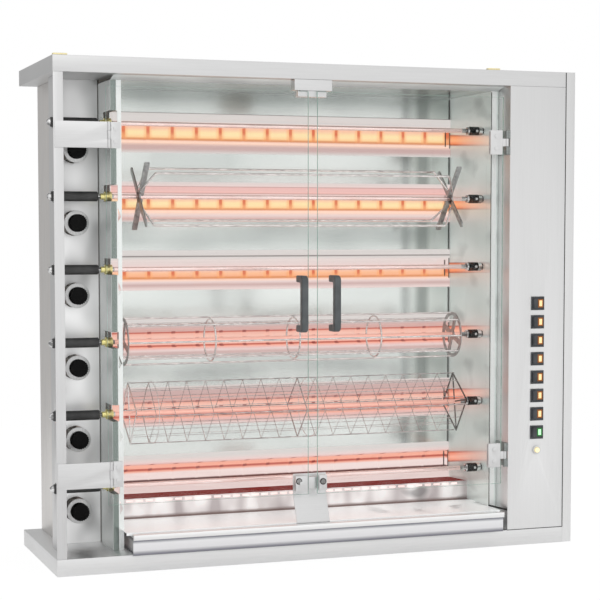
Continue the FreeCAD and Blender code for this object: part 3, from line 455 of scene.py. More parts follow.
# the plaques' own glow, and the hood around them: its pinks are painted light from the burners, its dark lines and
# dim tones painted shade
glowTones = {
    "steel": "#D9D4D1", "haze": "#E9D4D0", "blush": "#EBBCB6", "rose": "#D3ABA4", "dusk": "#C9A9A5",
    "seam": "#7C7674", "fold": "#B98C86", "ember": "#F9E0AA", "emberLow": "#FBCF92", "emberTop": "#F3BFA2",
    "emberLine": "#D68752", "spill": "#FDD8C4", "salmon": "#F2C0B0", "salmonTop": "#EBAF9D",
    "coral": "#F6AC95", "redLine": "#BC4F3D", "amber": "#F8BB90", "amberLow": "#F4B086",
    "shadowGap": "#504B49", "scorch": "#4E1D1A", "pearl": "#F3E0DC",
    "warmRim": "#F5A564", "warmBar": "#D5643A", "rosyRim": "#F2A58E", "rosyBar": "#8F3029",
}
emberWindow = (
    ("emberTop", 0.04), ("emberTop", 0.12), ("ember", 0.42), ("ember", 0.62), ("emberLow", 0.84),
    ("emberLine", 0.97), ("emberLine", 1.03),
)
amberWindow = (
    ("emberTop", 0.04), ("emberTop", 0.12), ("amber", 0.34), ("amberLow", 0.74),
    ("emberLine", 0.95), ("emberLine", 1.03),
)
rosyWindow = (
    ("redLine", -0.01), ("redLine", 0.03), ("salmonTop", 0.10), ("salmon", 0.30), ("salmon", 0.90),
    ("redLine", 0.97), ("redLine", 1.02),
)
coralWindow = (
    ("fold", 0.0), ("salmonTop", 0.12), ("coral", 0.50), ("coral", 0.80), ("redLine", 0.92), ("redLine", 1.10),
)
burnerRows = (
    {"lit": (-20.0, 9.0), "window": emberWindow, "around": (
        (40, "shadowGap"), (37.6, "shadowGap"), (36, "steel"), (20, "steel"), (12, "haze"), (-24, "spill"),
        (-28, "spill"), (-37, "dusk"), (-43, "dusk"), (-52, "steel"),
    )},
    {"lit": (-23.0, 2.0), "window": emberWindow, "around": (
        (40, "steel"), (29, "haze"), (27.3, "fold"), (26, "blush"), (15, "blush"), (13, "fold"),
        (11.5, "haze"), (3.5, "blush"), (-27, "spill"), (-31, "spill"), (-38, "haze"), (-46, "rose"), (-54, "steel"),
    )},
    {"lit": (-26.0, -10.0), "window": amberWindow, "around": (
        (40, "steel"), (26.6, "steel"), (25.2, "seam"), (23.8, "seam"), (22.2, "steel"), (1, "haze"),
        (-1.2, "fold"), (-3, "haze"), (-9, "blush"), (-30, "spill"), (-34, "haze"), (-41, "dusk"), (-49, "haze"),
    )},
    {"lit": (-25.5, 5.3), "window": rosyWindow, "dots": 3, "around": (
        (40, "steel"), (26, "steel"), (17, "dusk"), (12, "rose"), (7.2, "rose"), (-28.0, "coral"),
        (-30.5, "blush"), (-34, "haze"), (-40, "dusk"), (-52, "steel"),
    )},
    {"lit": (-28.6, 0.5), "window": rosyWindow, "dots": 3, "around": (
        (40, "steel"), (28, "dusk"), (20, "dusk"), (17.5, "fold"), (14, "rose"), (2.5, "rose"),
        (-32.5, "coral"), (-38, "blush"), (-43, "rose"), (-48, "haze"), (-54, "steel"),
    )},
    {"lit": (1.6, 15.6), "window": coralWindow, "dots": 2, "around": (
        (40, "steel"), (32, "steel"), (22, "haze"), (17.6, "blush"), (-3, "coral"), (-7.5, "pearl"),
        (-19, "pearl"), (-21.4, "haze"), (-23.0, "scorch"), (-28.6, "scorch"), (-31, "haze"), (-54, "haze"),
    )},
)


def burnerLook(tree, row):
    # pierced ceramic plaques, glowing: pale in the middle, orange at the rims; their stainless hood is pink around
    # them with painted light from the burners, and has lines of painted shade
    look = burnerRows[row - 1]
    low, high = look["lit"]
    span, middle = high - low, (low + high) / 2
    foot, head = burners["foot"], burners["head"]
    rosy = "dots" in look
    x, z = placeOf(tree, "XZ")
    height = maths(tree, "SUBTRACT", z, levelZ(row))
    marks = [*look["around"], *((high - part * span, tone) for tone, part in look["window"])]
    stops = [((mm - foot) / (head - foot), glowTones[tone]) for mm, tone in sorted(marks)]
    upright = rampOf(tree, ranged(tree, height, 0.0, 1.0, foot, head), stops)
    # aside is the distance from the nearest divider between two tiles
    pitch = (burners["right"] - burners["left"]) / burners["tiles"]
    aside = maths(tree, "PINGPONG", maths(tree, "SUBTRACT", x, burners["left"]), pitch / 2)
    inside = maths(tree, "COMPARE", height, middle, span / 2)
    rim = ranged(tree, aside, 0.2 if rosy else 0.7, 0.0, *burners["rimFade"])
    rimTone = glowTones["rosyRim" if rosy else "warmRim"]
    warmed = blend(tree, maths(tree, "MULTIPLY", inside, rim), upright, rimTone)
    half, dotReach = burners["dotHalf"] if rosy else (burners["divider"], 0.0)
    nearby = maths(tree, "COMPARE", height, middle, span / 2 + dotReach)
    bar = maths(tree, "MULTIPLY", nearby, ranged(tree, aside, 1.0, 0.0, half - 1, half + 1))
    if rosy:
        spacing = span / (look["dots"] - 1)
        wave = maths(tree, "PINGPONG", maths(tree, "SUBTRACT", height, low), spacing / 2)
        shown = ranged(tree, wave, 1.0, 0.0, dotReach - 1, dotReach + 1)
    else:
        shown = ranged(tree, height, 0.35, 1.0, low + span * 0.25, low + span * 0.6)
    barTone = glowTones["rosyBar" if rosy else "warmBar"]
    # real holes are 1.3 mm, drawn coarser so that they show
    grid = {"Vector": objectPlace(tree), "Scale": 1000 / burners["holeMm"], "Randomness": 0.0}
    holes = addNode(tree, "ShaderNodeTexVoronoi", grid).outputs["Distance"]
    pierced = maths(tree, "MULTIPLY", ranged(tree, holes, 0.07, 0.0, 0.2, 0.4), inside)
    # the hood outside the window gets painted light as emission
    glow = ranged(tree, inside, burners["paintedHoodLight"], burners["glow"])
    return {
        "Emission Color": blend(tree, maths(tree, "MULTIPLY", bar, shown), warmed, barTone),
        "Emission Strength": maths(tree, "SUBTRACT", glow, pierced),
        "Base Color": "#5A5250", "Roughness": 0.6, "Specular IOR Level": 0.1,
    }


def toughenedGlass(tree):
    # clear toughened float glass: almost no colour through its face, sharp reflections
    return {
        "Base Color": "#F6FBF9", "Transmission Weight": 1.0, "IOR": 1.45, "Alpha": 0.04,
        "Roughness": grained(tree, grainNoise(tree, (120, 120, 300), 2.0), 0.0, 0.015),
    }


def glassEdge(tree, dark, light, alpha):
    # ground and polished glass edge: the iron in the glass gathers to a green line there
    shade = grainNoise(tree, (40, 40, 18))
    return {"Base Color": tinted(tree, shade, dark, light), "Roughness": 0.12, "IOR": 1.52, "Alpha": alpha}


def mouldedPlastic(tree, light, dark, roughness, grainMm=1.2, gloss=0.5):
    # moulded thermoset or nylon: an even dull shell with a fine spark-eroded grain
    grain = grainNoise(tree, (grainMm, grainMm, grainMm), 3.0)
    bump = addNode(tree, "ShaderNodeBump", {"Height": grain, "Strength": 0.15, "Distance": 0.0002})
    return {
        "Base Color": tinted(tree, grainNoise(tree, (25, 25, 25)), dark, light), "Normal": bump.outputs[0],
        "Roughness": grained(tree, grain, roughness - 0.06, roughness + 0.06),
        "IOR": 1.5, "Specular IOR Level": gloss,
    }


def turnedMetal(tree, light, dark, roughness):
    # turned or plated metal: fine tool marks and a soft bright sheen
    marks = grainNoise(tree, (0.8, 9, 9))
    return {
        "Metallic": 1.0, "Base Color": tinted(tree, marks, dark, light),
        "Roughness": grained(tree, marks, roughness - 0.05, roughness + 0.07),
    }


def litLens(tree, core, rim, power):
    # moulded clear lens with a lamp behind it: bright in the middle, deeper at the rim
    facing = addNode(tree, "ShaderNodeLayerWeight", {"Blend": 0.35}).outputs["Facing"]
    mixed = maths(tree, "MULTIPLY_ADD", grainNoise(tree, (3, 3, 3)), 0.35, facing)
    colour = rampOf(tree, mixed, ((0.25, core), (0.75, rim)))
    return {**litBy(colour, power), "Roughness": 0.2}


spitBar = {"socketX": 995.5, "socketHalf": 12.0, "litX": 558.0, "litHalf": 408.0, "rosyHalf": 140.0}


def spitSteel(tree):
    # polished stainless bar with painted pink light, lit as emission, where the burners light it, deeper pink at the
    # fourth and fifth spits, and a black socket where it meets the drive
    x, z = placeOf(tree, "XZ")
    socket = maths(tree, "COMPARE", x, spitBar["socketX"], spitBar["socketHalf"])
    inside = maths(tree, "COMPARE", x, spitBar["litX"], spitBar["litHalf"])
    deeper = maths(tree, "COMPARE", z, (levelZ(4) + levelZ(5)) / 2, spitBar["rosyHalf"])
    marks = grainNoise(tree, (40, 6, 6))
    pink = blend(tree, deeper, tinted(tree, marks, "#F2D6D1", "#FBEAE7"), "#EDB3A3")
    chrome = rampOf(tree, marks, ((0.42, "#8D8D8D"), (0.58, "#EDEDED")))
    steel = blend(tree, inside, chrome, pink)
    paintedLightStrength = maths(tree, "MULTIPLY_ADD", deeper, 0.22, 0.12)
    return {
        "Base Color": blend(tree, socket, steel, "#111112"), "Metallic": ranged(tree, socket, 1.0, 0.0),
        "Emission Color": "#FFC9BC", "Emission Strength": maths(tree, "MULTIPLY", inside, paintedLightStrength),
        "Roughness": ranged(tree, deeper, 0.22, 0.42), "Specular IOR Level": ranged(tree, socket, 0.5, 0.12),
    }


def burnerLitWire(tree):
    # drawn stainless wire, bright, with a faint painted light from the burners behind it as emission
    return {
        "Metallic": 1.0, "Base Color": tinted(tree, grainNoise(tree, (14, 2, 2)), "#BDB8B6", "#F2EEEC"),
        "Emission Color": "#FFF1EE", "Emission Strength": 0.04, "Roughness": 0.16,
    }


def litGutter(tree):
    # polished gutter with painted light from the burners and the room as emission
    colour = tinted(tree, grainNoise(tree, (40, 40, 6)), "#F3D9D4", "#FFF4F0")
    return {**litBy(colour, 0.75), "Roughness": 0.3}


print("materials")
alongX, alongZ, allWays = (90, 3, 3), (3, 3, 90), (8, 8, 8)
looks = {
    "roof": ("brushedRoofSheet", brushedStainless, "#DBDBDB", "#D7D7D7", 0.36, alongX),
    # the base's sheet is a lighter copy of the roof's, as painted light
    "base": ("brushedBaseSheet", brushedStainless, "#E9E9E9", "#E5E5E5", 0.38, alongX),
    "case": ("brushedCaseSheet", brushedStainless, "#DDDDDD", "#D9D9D9", 0.38, alongZ),
    # the panel's sheet has painted light from the floor, paler at its foot
    "panel": ("brushedPanelSheet", brushedStainless, "#EFEFEF", "#D5D5D5", 0.42, alongZ, 0.008, 0.16),
    "side": ("brushedSideSheet", brushedStainless, "#E6E3E0", "#DAD7D4", 0.42, alongZ),
    "fitting": ("brushedFittingPlate", brushedStainless, "#DEDEDE", "#DADADA", 0.36, (30, 2, 2)),
    # a darker copy of the fitting plate, as painted shade on the right hinge plates
    "shaded": ("dullBracketPlate", brushedStainless, "#9DA19F", "#8B8F8D", 0.42, (30, 2, 2)),
    "blade": ("dullCradleBlade", brushedStainless, "#B4B4B3", "#858584", 0.30, allWays),
    "meshWire": ("dullMeshWire", brushedStainless, "#D6D0CE", "#9C9694", 0.26, (14, 3, 3)),
    "frameBar": ("dullBasketFrame", brushedStainless, "#6A6766", "#3C3A3A", 0.25, allWays),
    "knobWall": ("smudgedKnobPanel", mottledPanel),
    "tray": ("foldedTrayFront", shadedTray),
    "wire": ("drawnStainlessWire", burnerLitWire),
    "lining": ("mirrorChamberLining", mirrorLining),
    "wall": ("polishedChamberWall", wallSteel),
    "rightWall": ("polishedRightWall", rightWallSteel),
    "ceiling": ("litCeilingSheet", ceilingSheet),
    "drain": ("polishedDrainFloor", drainSteel),
    "gutter": ("litDrainGutter", litGutter),
    "spit": ("polishedSpitBar", spitSteel),
    "pane": ("clearToughenedGlass", toughenedGlass),
    "edge": ("polishedGlassEdge", glassEdge, "#86B3A4", "#AFD1C5", 0.85),
    "grip": ("mouldedSpitGrip", mouldedPlastic, "#434343", "#2E2E2E", 0.5),
    "knob": ("mouldedGasKnob", mouldedPlastic, "#0C0C0C", "#050505", 0.6, 1.2, 0.15),
    "motor": ("paintedMotorCase", mouldedPlastic, "#6A6D70", "#4C4F52", 0.45, 2.0),
    "handle": ("coatedDoorHandle", mouldedPlastic, "#5C6062", "#4B4F51", 0.48, 1.0),
    "switch": ("mouldedSwitchCase", mouldedPlastic, "#4A4C50", "#333539", 0.42, 0.8),
    "gland": ("mouldedNylonGland", mouldedPlastic, "#242424", "#161616", 0.5, 1.0),
    "dial": ("spunDialPlate", turnedMetal, "#DADADA", "#BEBEBE", 0.36),
    "brass": ("turnedBrassBush", turnedMetal, "#FFF6B4", "#E6D888", 0.34),
    "valve": ("platedValveMetal", turnedMetal, "#C9C7C2", "#8F8D89", 0.38),
    "plug": ("brassRoofCap", turnedMetal, "#FFF6CE", "#F3E2A4", 0.40),
    "button": ("litIgnitionCap", litLens, "#FAEFC4", "#EBD488", 0.36),
    "amber": ("litAmberLens", litLens, "#F8CE96", "#DCA058", 0.60),
    "amberRim": ("amberLensRim", litLens, "#86501F", "#5A3416", 0.34),
    "green": ("litGreenLens", litLens, "#B6EABD", "#78C486", 0.58),
    "greenRim": ("greenLensRim", litLens, "#1F6A2C", "#12421C", 0.35),
}
finish = {key: makeMaterial(*look) for key, look in looks.items()}
burnerFinish = [makeMaterial("glowingBurnerAndPaintedHoodRow%d" % row, burnerLook, row) for row in rowNumbers]


# Mesh helpers

mending = {"weldMm": 0.005, "flatTurn": 0.6, "edgeTurn": 40, "smoothTurn": 35}


def placePiece(name, mesh, body, replaces=()):
    piece = newObject(name, mesh)
    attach(piece, body)
    if replaces:
        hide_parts(*replaces)


def settle(obj):
    # the evaluated object as a plain mesh; the working object is removed
    bpy.context.view_layer.update()
    mesh = bpy.data.meshes.new_from_object(obj.evaluated_get(bpy.context.evaluated_depsgraph_get()))
    data = obj.data
    bpy.data.objects.remove(obj)
    if isinstance(data, bpy.types.Curve):
        bpy.data.curves.remove(data)
    return mesh


def smooth(mesh, angle=mending["smoothTurn"]):
    mesh.polygons.foreach_set("use_smooth", [True] * len(mesh.polygons))
    mesh.set_sharp_from_angle(angle=math.radians(angle))


def roundedCopy(node, bevelMm):
    # a node's solid with its facets joined up and its edges broken by a small round
    mesh = cadNodes[node].data.copy()
    shape = bmesh.new()
    shape.from_mesh(mesh)
    bmesh.ops.remove_doubles(shape, verts=shape.verts, dist=mending["weldMm"] / 1000)
    flat = math.radians(mending["flatTurn"])
    bmesh.ops.dissolve_limit(shape, angle_limit=flat, verts=shape.verts, edges=shape.edges)
    shape.to_mesh(mesh)
    shape.free()
    mesh.materials.clear()
    if bevelMm:
        work = newObject("working", mesh)
        bevel = work.modifiers.new("edgeRound", "BEVEL")
        bevel.width = bevelMm / 1000
        bevel.segments = 2
        bevel.limit_method = "ANGLE"
        bevel.angle_limit = math.radians(mending["edgeTurn"])
        bevel.use_clamp_overlap = True
        mesh = settle(work)
    smooth(mesh)
    return mesh


def wireMesh(paths, radiusMm, sides=3):
    # round wires along smooth paths of points in metres
    curve = bpy.data.curves.new("working", "CURVE")
    curve.dimensions = "3D"
    curve.bevel_depth = radiusMm / 1000
    curve.bevel_resolution = sides
    curve.use_fill_caps = True
    curve.resolution_u = 6
    for points in paths:
        spline = curve.splines.new("NURBS")
        spline.points.add(len(points) - 1)
        for point, place in zip(spline.points, points):
            point.co = (*place, 1.0)
        spline.order_u = 3
        spline.use_endpoint_u = True
    return settle(newObject("working", curve))


def joinMeshes(meshes, materials):
    # one mesh from several, each with its own place in the list of materials
    shape = bmesh.new()
    for index, mesh in enumerate(meshes):
        before = len(shape.faces)
        shape.from_mesh(mesh)
        shape.faces.ensure_lookup_table()
        for face in shape.faces[before:]:
            face.material_index = min(index, len(materials) - 1)
        bpy.data.meshes.remove(mesh)
    joined = bpy.data.meshes.new("joined")
    shape.to_mesh(joined)
    shape.free()
    for material in materials:
        joined.materials.append(material)
    smooth(joined)
    return joined


def closeShape(shape, *materials):
    # a finished shape as a mesh, its faces turned outward
    bmesh.ops.recalc_face_normals(shape, faces=shape.faces)
    mesh = bpy.data.meshes.new("closed")
    shape.to_mesh(mesh)
    shape.free()
    for material in materials:
        mesh.materials.append(material)
    return mesh


def addBox(shape, near, far, materialIndex=0):
    verts = bmesh.ops.create_cube(shape, size=1.0)["verts"]
    for vert in verts:
        vert.co = Vector([near[i] if vert.co[i] < 0 else far[i] for i in range(3)])
    for face in {face for vert in verts for face in vert.link_faces}:
        face.material_index = materialIndex


def bridge(shape, inner, outer):
    # faces between two closed rings of points
    pairs = [(i, (i + 1) % len(inner)) for i in range(len(inner))]
    return [shape.faces.new((inner[i], inner[j], outer[j], outer[i])) for i, j in pairs]


def thicken(shape, faces, thickMm):
    # gives flat faces a thickness along X
    grown = bmesh.ops.extrude_face_region(shape, geom=faces)["geom"]
    verts = [item for item in grown if isinstance(item, bmesh.types.BMVert)]
    bmesh.ops.translate(shape, verts=verts, vec=(thickMm / 1000, 0, 0))


def foldedShape(outline, ends):
    # a sheet with folds along X: outline gives its y and z, ends its two x
    shape = bmesh.new()
    left, right = [[shape.verts.new(at(x, y, z)) for y, z in outline] for x in ends]
    for i in range(len(outline) - 1):
        shape.faces.new((left[i], right[i], right[i + 1], left[i + 1]))
    return shape


# Sheet metal, plastics and fittings: every solid keeps its form, and most get broken edges

bodyOfNode = {node: body for body, names in frame["record"]["behaviour"]["bodies"].items() for node in names}

roundedNodes = {
    "base_slab": ("base", 1.0), "roof_slab": ("roof", 1.0), "right_end_panel": ("panel", 1.0),
    "left_front_post": ("case", 0.5), "left_side_panel": ("side", 0.5), "control_panel": ("panel", 0.5),
    "rear_panel": ("case", 0.0), "drip_tray": ("tray", 0.6), "hinge_brackets": ("fitting", 0.4),
    "door_fittings_left": ("fitting", 0.5), "door_fittings_right": ("fitting", 0.5),
    "door_catches": ("fitting", 0.6), "door_handle_left": ("handle", 4.0), "door_handle_right": ("handle", 4.0),
    "switch_frames": ("switch", 0.5), "dial_plates": ("dial", 0.4), "roof_plugs": ("plug", 1.2),
    "cable_gland": ("gland", 0.6), "spit_rests": ("brass", 0.6), "rod_basket_4": ("wire", 0.0),
    "ignition_button": ("button", 0.0),
}
for number in rowNumbers:
    roundedNodes["spit_%d" % number] = ("spit", 0.4)
    roundedNodes["spit_handle_%d" % number] = ("grip", 0.0)
    roundedNodes["knob_%d" % number] = ("knob", 0.0)
for number in range(1, 9):
    roundedNodes["rocker_%d" % number] = ("switch", 0.5)

# the faces of a node whose middle lies in these places get a second finish
second = {"rightPlatesFrom": 1000.0, "collarBelow": 240.0, "basketMiddle": 558.0, "basketHalf": 366.0}
splitNodes = {
    # the right hinge plates get a darker copy as painted shade
    "hinge_brackets": ("shaded", lambda place: place.x > at(second["rightPlatesFrom"], 0, 0).x),
    "switch_frames": ("fitting", lambda place: place.z < second["collarBelow"] / 1000),
    "rod_basket_4": (
        "blade", lambda place: abs(place.x - at(second["basketMiddle"], 0, 0).x) > second["basketHalf"] / 1000,
    ),
}


def paintPart(mesh, look, chosen):
    mesh.materials.append(finish[look])
    for face in mesh.polygons:
        if chosen(face.center):
            face.material_index = 1


print("rounding the edges of %d nodes" % len(roundedNodes))
for node, (look, bevelMm) in roundedNodes.items():
    mesh = roundedCopy(node, bevelMm)
    mesh.materials.append(finish[look])
    if node in splitNodes:
        paintPart(mesh, *splitNodes[node])
    placePiece(node + "_finished", mesh, bodyOfNode[node], (node,))

plainNodes = {
    "chamber_lining": "lining", "chamber_left_wall": "wall", "chamber_right_wall": "rightWall",
    "drip_floor": "drain", "knob_panel": "knobWall", "gas_train": "valve", "drive_motors": "motor",
}
for node, look in plainNodes.items():
    for holder in cadNodes[node].material_slots:
        holder.material = finish[look]


# Burners, one look for each row, and the end cheeks that close each of them at both sides

cheeks = {"left": 164.0, "right": 1022.8, "thick": 1.0, "yFrom": 284.0, "yTo": 314.0, "inset": 1.0}


def makeBurners(node):
    mesh = roundedCopy(node, 0)
    for look in burnerFinish:
        mesh.materials.append(look)
    middle = levels["pitch"] / 2 + (burners["foot"] + burners["head"]) / 2
    for face in mesh.polygons:
        row = int((levels["top"] + middle - face.center.z * 1000) // levels["pitch"])
        face.material_index = min(max(row, 0), levels["count"] - 1)
    placePiece(node + "_glowing", mesh, "cabinet", (node,))


def makeCheeks():
    shape = bmesh.new()
    for row in rowNumbers:
        low = levelZ(row) + burners["foot"] + cheeks["inset"]
        high = levelZ(row) + burners["head"] - cheeks["inset"]
        for x in (cheeks["left"], cheeks["right"]):
            addBox(shape, at(x, cheeks["yFrom"], low), at(x + cheeks["thick"], cheeks["yTo"], high), row - 1)
    mesh = closeShape(shape, *burnerFinish)
    placePiece("burner_cheeks", mesh, "cabinet")


print("burners")
for node in ("burner_bodies", "burner_tiles"):
    makeBurners(node)
makeCheeks()


# Trims that close the chamber: the sloped lip of the ceiling, dark joints in its corners, and
# the painted shadow gaps of the switch panel

trims = {
    "lip": ((27.0, 1041.6), (63.0, 1033.4)), "lipEnds": (134.0, 1036.5), "lipFolds": 4, "lipBulge": 1.0,
    "lipThick": 1.0, "jointRadius": 1.0, "jointLow": 84.0, "jointHigh": 1031.0, "front": (1018.8, 58.6),
    "corner": (1018.6, 285.0), "cornerHeights": (130.0, 500.0), "footRun": ((0, 0, 1), (8, -28, 0), (17, -56, -1)),
    "shadowGapHalf": 0.0009, "shadowGapProud": 0.0003, "shadowGapSunk": 0.0004, "shadowGapTop": 0.001, "shadowGapOver": 0.6,
}


def makeCeilingLip():
    (y0, z0), (y1, z1) = trims["lip"]
    outline = []
    for i in range(trims["lipFolds"] + 1):
        part = i / trims["lipFolds"]
        bulge = trims["lipBulge"] * math.sin(math.pi * part)
        outline.append((y0 + (y1 - y0) * part, z0 + (z1 - z0) * part + bulge))
    shape = foldedShape(outline, trims["lipEnds"])
    # the new faces have no normals yet, so this doubles the sheet but adds no thickness
    bmesh.ops.solidify(shape, geom=shape.faces[:], thickness=trims["lipThick"] / 1000)
    placePiece("ceiling_lip", closeShape(shape, finish["ceiling"]), "cabinet")


def makeJoints():
    x, y = trims["front"]
    low, high = trims["jointLow"], trims["jointHigh"]
    upright = [at(x, y, z) for z in (low + 1, (low + high) / 2, high)]
    corner = [at(*trims["corner"], z) for z in (*trims["cornerHeights"], high)]
    foot = [at(x + aside, y + out, low + up) for aside, out, up in trims["footRun"]]
    radius = trims["jointRadius"]
    parts = [wireMesh([upright, corner], radius, 2), wireMesh([foot], 2 * radius, 2)]
    placePiece("chamber_joints", joinMeshes(parts, [finish["gland"]]), "cabinet")


def spanOf(node):
    corners = [Vector(corner) for corner in cadNodes[node].bound_box]
    return [[end(corner[i] for corner in corners) for i in range(3)] for end in (min, max)]


def makeShadowGaps():
    # painted shadow gaps beside and under the switch panel, as thin dark strips on its face
    low, high = spanOf("control_panel")
    roofLow, roofHigh = spanOf("roof_slab")
    half, proud, back = trims["shadowGapHalf"], trims["shadowGapProud"], low[1] + trims["shadowGapSunk"]
    top, over = roofHigh[2] - trims["shadowGapTop"], half * trims["shadowGapOver"]
    shape = bmesh.new()
    addBox(shape, (high[0] - half, roofLow[1] - proud, low[2]), (high[0] + half, back, top))
    addBox(shape, (low[0], low[1] - proud, low[2] - half), (high[0], back, low[2] + over))
    placePiece("panel_shadow_gaps", closeShape(shape, finish["gland"]), "cabinet")


print("trims")
makeCeilingLip()
makeJoints()
makeShadowGaps()


# Glass doors

def makeGlass(side):
    mesh = roundedCopy("door_glass_" + side, 0.7)
    mesh.materials.append(finish["pane"])
    mesh.materials.append(finish["edge"])
    for face in mesh.polygons:
        face.material_index = 0 if abs(face.normal.y) > 0.95 else 1
    placePiece("door_glass_%s_leaf" % side, mesh, "door_" + side, ("door_glass_" + side,))


print("glass doors")
for side in ("left", "right"):
    makeGlass(side)


# Switch lenses

switches = {
    "x": 1109.3, "top": 552.6, "pitch": 42.1, "count": 8, "pivotY": 4.0, "tilt": 11.0,
    "lensFrom": -0.6, "lensTo": 12.4, "lensHalf": 9.6, "rim": 3.0, "rimProud": 0.5, "coreProud": 0.9,
    "sunk": 0.6, "edgeRound": 0.3, "faceNear": 5.2, "faceFar": 8.0, "faceLength": 13.6,
}


def makeLens(number):
    # a lit lens in the right half of the rocker, on its sloping face: a rim, and a core proud of it
    z = switches["top"] - switches["pitch"] * (number - 1)
    turn = math.radians(switches["tilt"])
    rise = (switches["faceFar"] - switches["faceNear"]) / switches["faceLength"]

    def onRocker(x, proud, up):
        y = -switches["faceNear"] - rise * x - proud
        aside = x * math.cos(turn) - y * math.sin(turn)
        out = x * math.sin(turn) + y * math.cos(turn)
        return at(switches["x"] + aside, switches["pivotY"] + out, z + up)

    parts = []
    for inset, proud in ((0.0, switches["rimProud"]), (switches["rim"], switches["coreProud"])):
        x0, x1 = switches["lensFrom"] + inset, switches["lensTo"] - inset
        half = switches["lensHalf"] - inset
        corners = ((x0, -half), (x1, -half), (x1, half), (x0, half))
        shape = bmesh.new()
        back = [shape.verts.new(onRocker(x, -switches["sunk"], up)) for x, up in corners]
        front = [shape.verts.new(onRocker(x, proud, up)) for x, up in corners]
        shape.faces.new(front)
        shape.faces.new(back[::-1])
        bridge(shape, back, front)
        bmesh.ops.recalc_face_normals(shape, faces=shape.faces)
        edges = [edge for edge in shape.edges if all(vert in front for vert in edge.verts)]
        bmesh.ops.bevel(shape, geom=edges, offset=switches["edgeRound"] / 1000, segments=2, affect="EDGES")
        parts.append(closeShape(shape))
    colour = "green" if number == switches["count"] else "amber"
    mesh = joinMeshes(parts, (finish[colour + "Rim"], finish[colour]))
    placePiece("switch_lens_%d" % number, mesh, "switch_%d" % number)


print("switch lenses")
for number in range(1, switches["count"] + 1):
    makeLens(number)


# Cradle on the second spit

cradle = {
    "left": 204.0, "right": 940.0, "ring": 70.0, "inner": 22.0, "bend": 24.0, "leans": (45.0, -28.0), "wire": 2.4,
    "bladeLeans": (39.0, -46.0), "bladeReach": 91.0, "bladeWidths": (5.0, 12.0), "bladeThicks": (11.0, 3.0),
    "hub": 13.0, "hubThick": 3.0, "bendStops": ((0.0, 0.0), (0.7, 0.7), (1.0, 1.0), (1.3, 1.0), (2.0, 1.0)),
}


def bladeMesh(x0, inward):
    # a bar on edge and a flat blade, crossed round the spit, both with rounded ends
    shape = bmesh.new()
    middle = at(x0, levels["spitY"], levelZ(2))
    reach = cradle["bladeReach"] / 1000
    for lean, width, thick in zip(cradle["bladeLeans"], cradle["bladeWidths"], cradle["bladeThicks"]):
        half = width / 2000
        turn = math.radians(lean)
        verts = []
        for end in (1, -1):
            for step in range(9):
                arc = math.radians(-90 + 22.5 * step)
                along = end * (reach - half + half * math.cos(arc))
                across = end * half * math.sin(arc)
                y = across * math.cos(turn) - along * math.sin(turn)
                z = along * math.cos(turn) + across * math.sin(turn)
                verts.append(shape.verts.new(middle + Vector((0, y, z))))
        thicken(shape, [shape.faces.new(verts)], inward * thick)
    return closeShape(shape)


def makeCradle():
    x0, x1 = cradle["left"] + cradle["hubThick"], cradle["right"] - cradle["hubThick"]
    y, z = levels["spitY"], levelZ(2)
    rise = cradle["ring"] - cradle["inner"]
    bends = [(cradle["bend"] * along, cradle["inner"] + rise * out) for along, out in cradle["bendStops"]]
    stops = [(x0 + along, out) for along, out in bends] + [(x1 - along, out) for along, out in bends[::-1]]
    paths = []
    for lean in (*cradle["leans"], *(180 + lean for lean in cradle["leans"])):
        turn = math.radians(lean)
        paths.append([at(x, y - out * math.sin(turn), z + out * math.cos(turn)) for x, out in stops])
    parts = [wireMesh(paths, cradle["wire"]), bladeMesh(cradle["left"], 1), bladeMesh(cradle["right"], -1)]
    for x in (cradle["left"], x1):
        hub = [at(x + cradle["hubThick"] * part, y, z) for part in (0, 0.5, 1)]
        parts.append(wireMesh([hub], cradle["hub"], 8))
    mesh = joinMeshes(parts, [finish["wire"], finish["blade"]])
    placePiece("cradle_2_wires", mesh, "spit_assembly_2", ("cradle_2",))


print("cradle")
makeCradle()


# Patterns made by Geometry Nodes

def newPattern(name, sockets):
    # an empty pattern whose inputs are named for what they set
    tree = bpy.data.node_groups.new(name, "GeometryNodeTree")
    tree.interface.new_socket("Geometry", in_out="OUTPUT", socket_type="NodeSocketGeometry")
    for socket, kind in {"Geometry": "Geometry", **sockets, "Material": "Material"}.items():
        tree.interface.new_socket(socket, in_out="INPUT", socket_type="NodeSocket" + kind)
    return tree, addNode(tree, "NodeGroupInput").outputs


def scatter(tree, points, instance):
    return addNode(tree, "GeometryNodeInstanceOnPoints", {"Points": points, "Instance": instance}).outputs[0]


def closePattern(tree, given, parts):
    both = addNode(tree, "GeometryNodeJoinGeometry")
    for part in parts:
        tree.links.new(part, both.inputs[0])
    real = addNode(tree, "GeometryNodeRealizeInstances", {0: both.outputs[0]})
    values = {"Geometry": real.outputs[0], "Material": given["Material"]}
    addNode(tree, "NodeGroupOutput", {0: addNode(tree, "GeometryNodeSetMaterial", values).outputs[0]})
    return tree


def runPattern(tree, values, points=()):
    # a working object of points carries the pattern, its inputs set by identifier
    mesh = bpy.data.meshes.new("working")
    mesh.from_pydata(points, [], [])
    obj = newObject("working", mesh)
    modifier = obj.modifiers.new("pattern", "NODES")
    modifier.node_group = tree
    for item in tree.interface.items_tree:
        if item.in_out == "INPUT" and item.name in values:
            modifier[item.identifier] = values[item.name]
    return settle(obj)


# Mesh basket on the fifth spit

meshBasket = {
    "left": 182.0, "right": 951.0, "reach": 66.0, "cornerWire": 1.4, "wire": 0.68, "bays": 18,
    "rodsPerSide": 4, "endPlate": 2.0, "rimHalf": 2.0, "spokeHalf": 1.6, "spokeReach": 0.93, "spokeSet": 0.1,
    "endTurn": 9.0, "rings": (231.0, 593.0), "ringReach": 69.0,
}


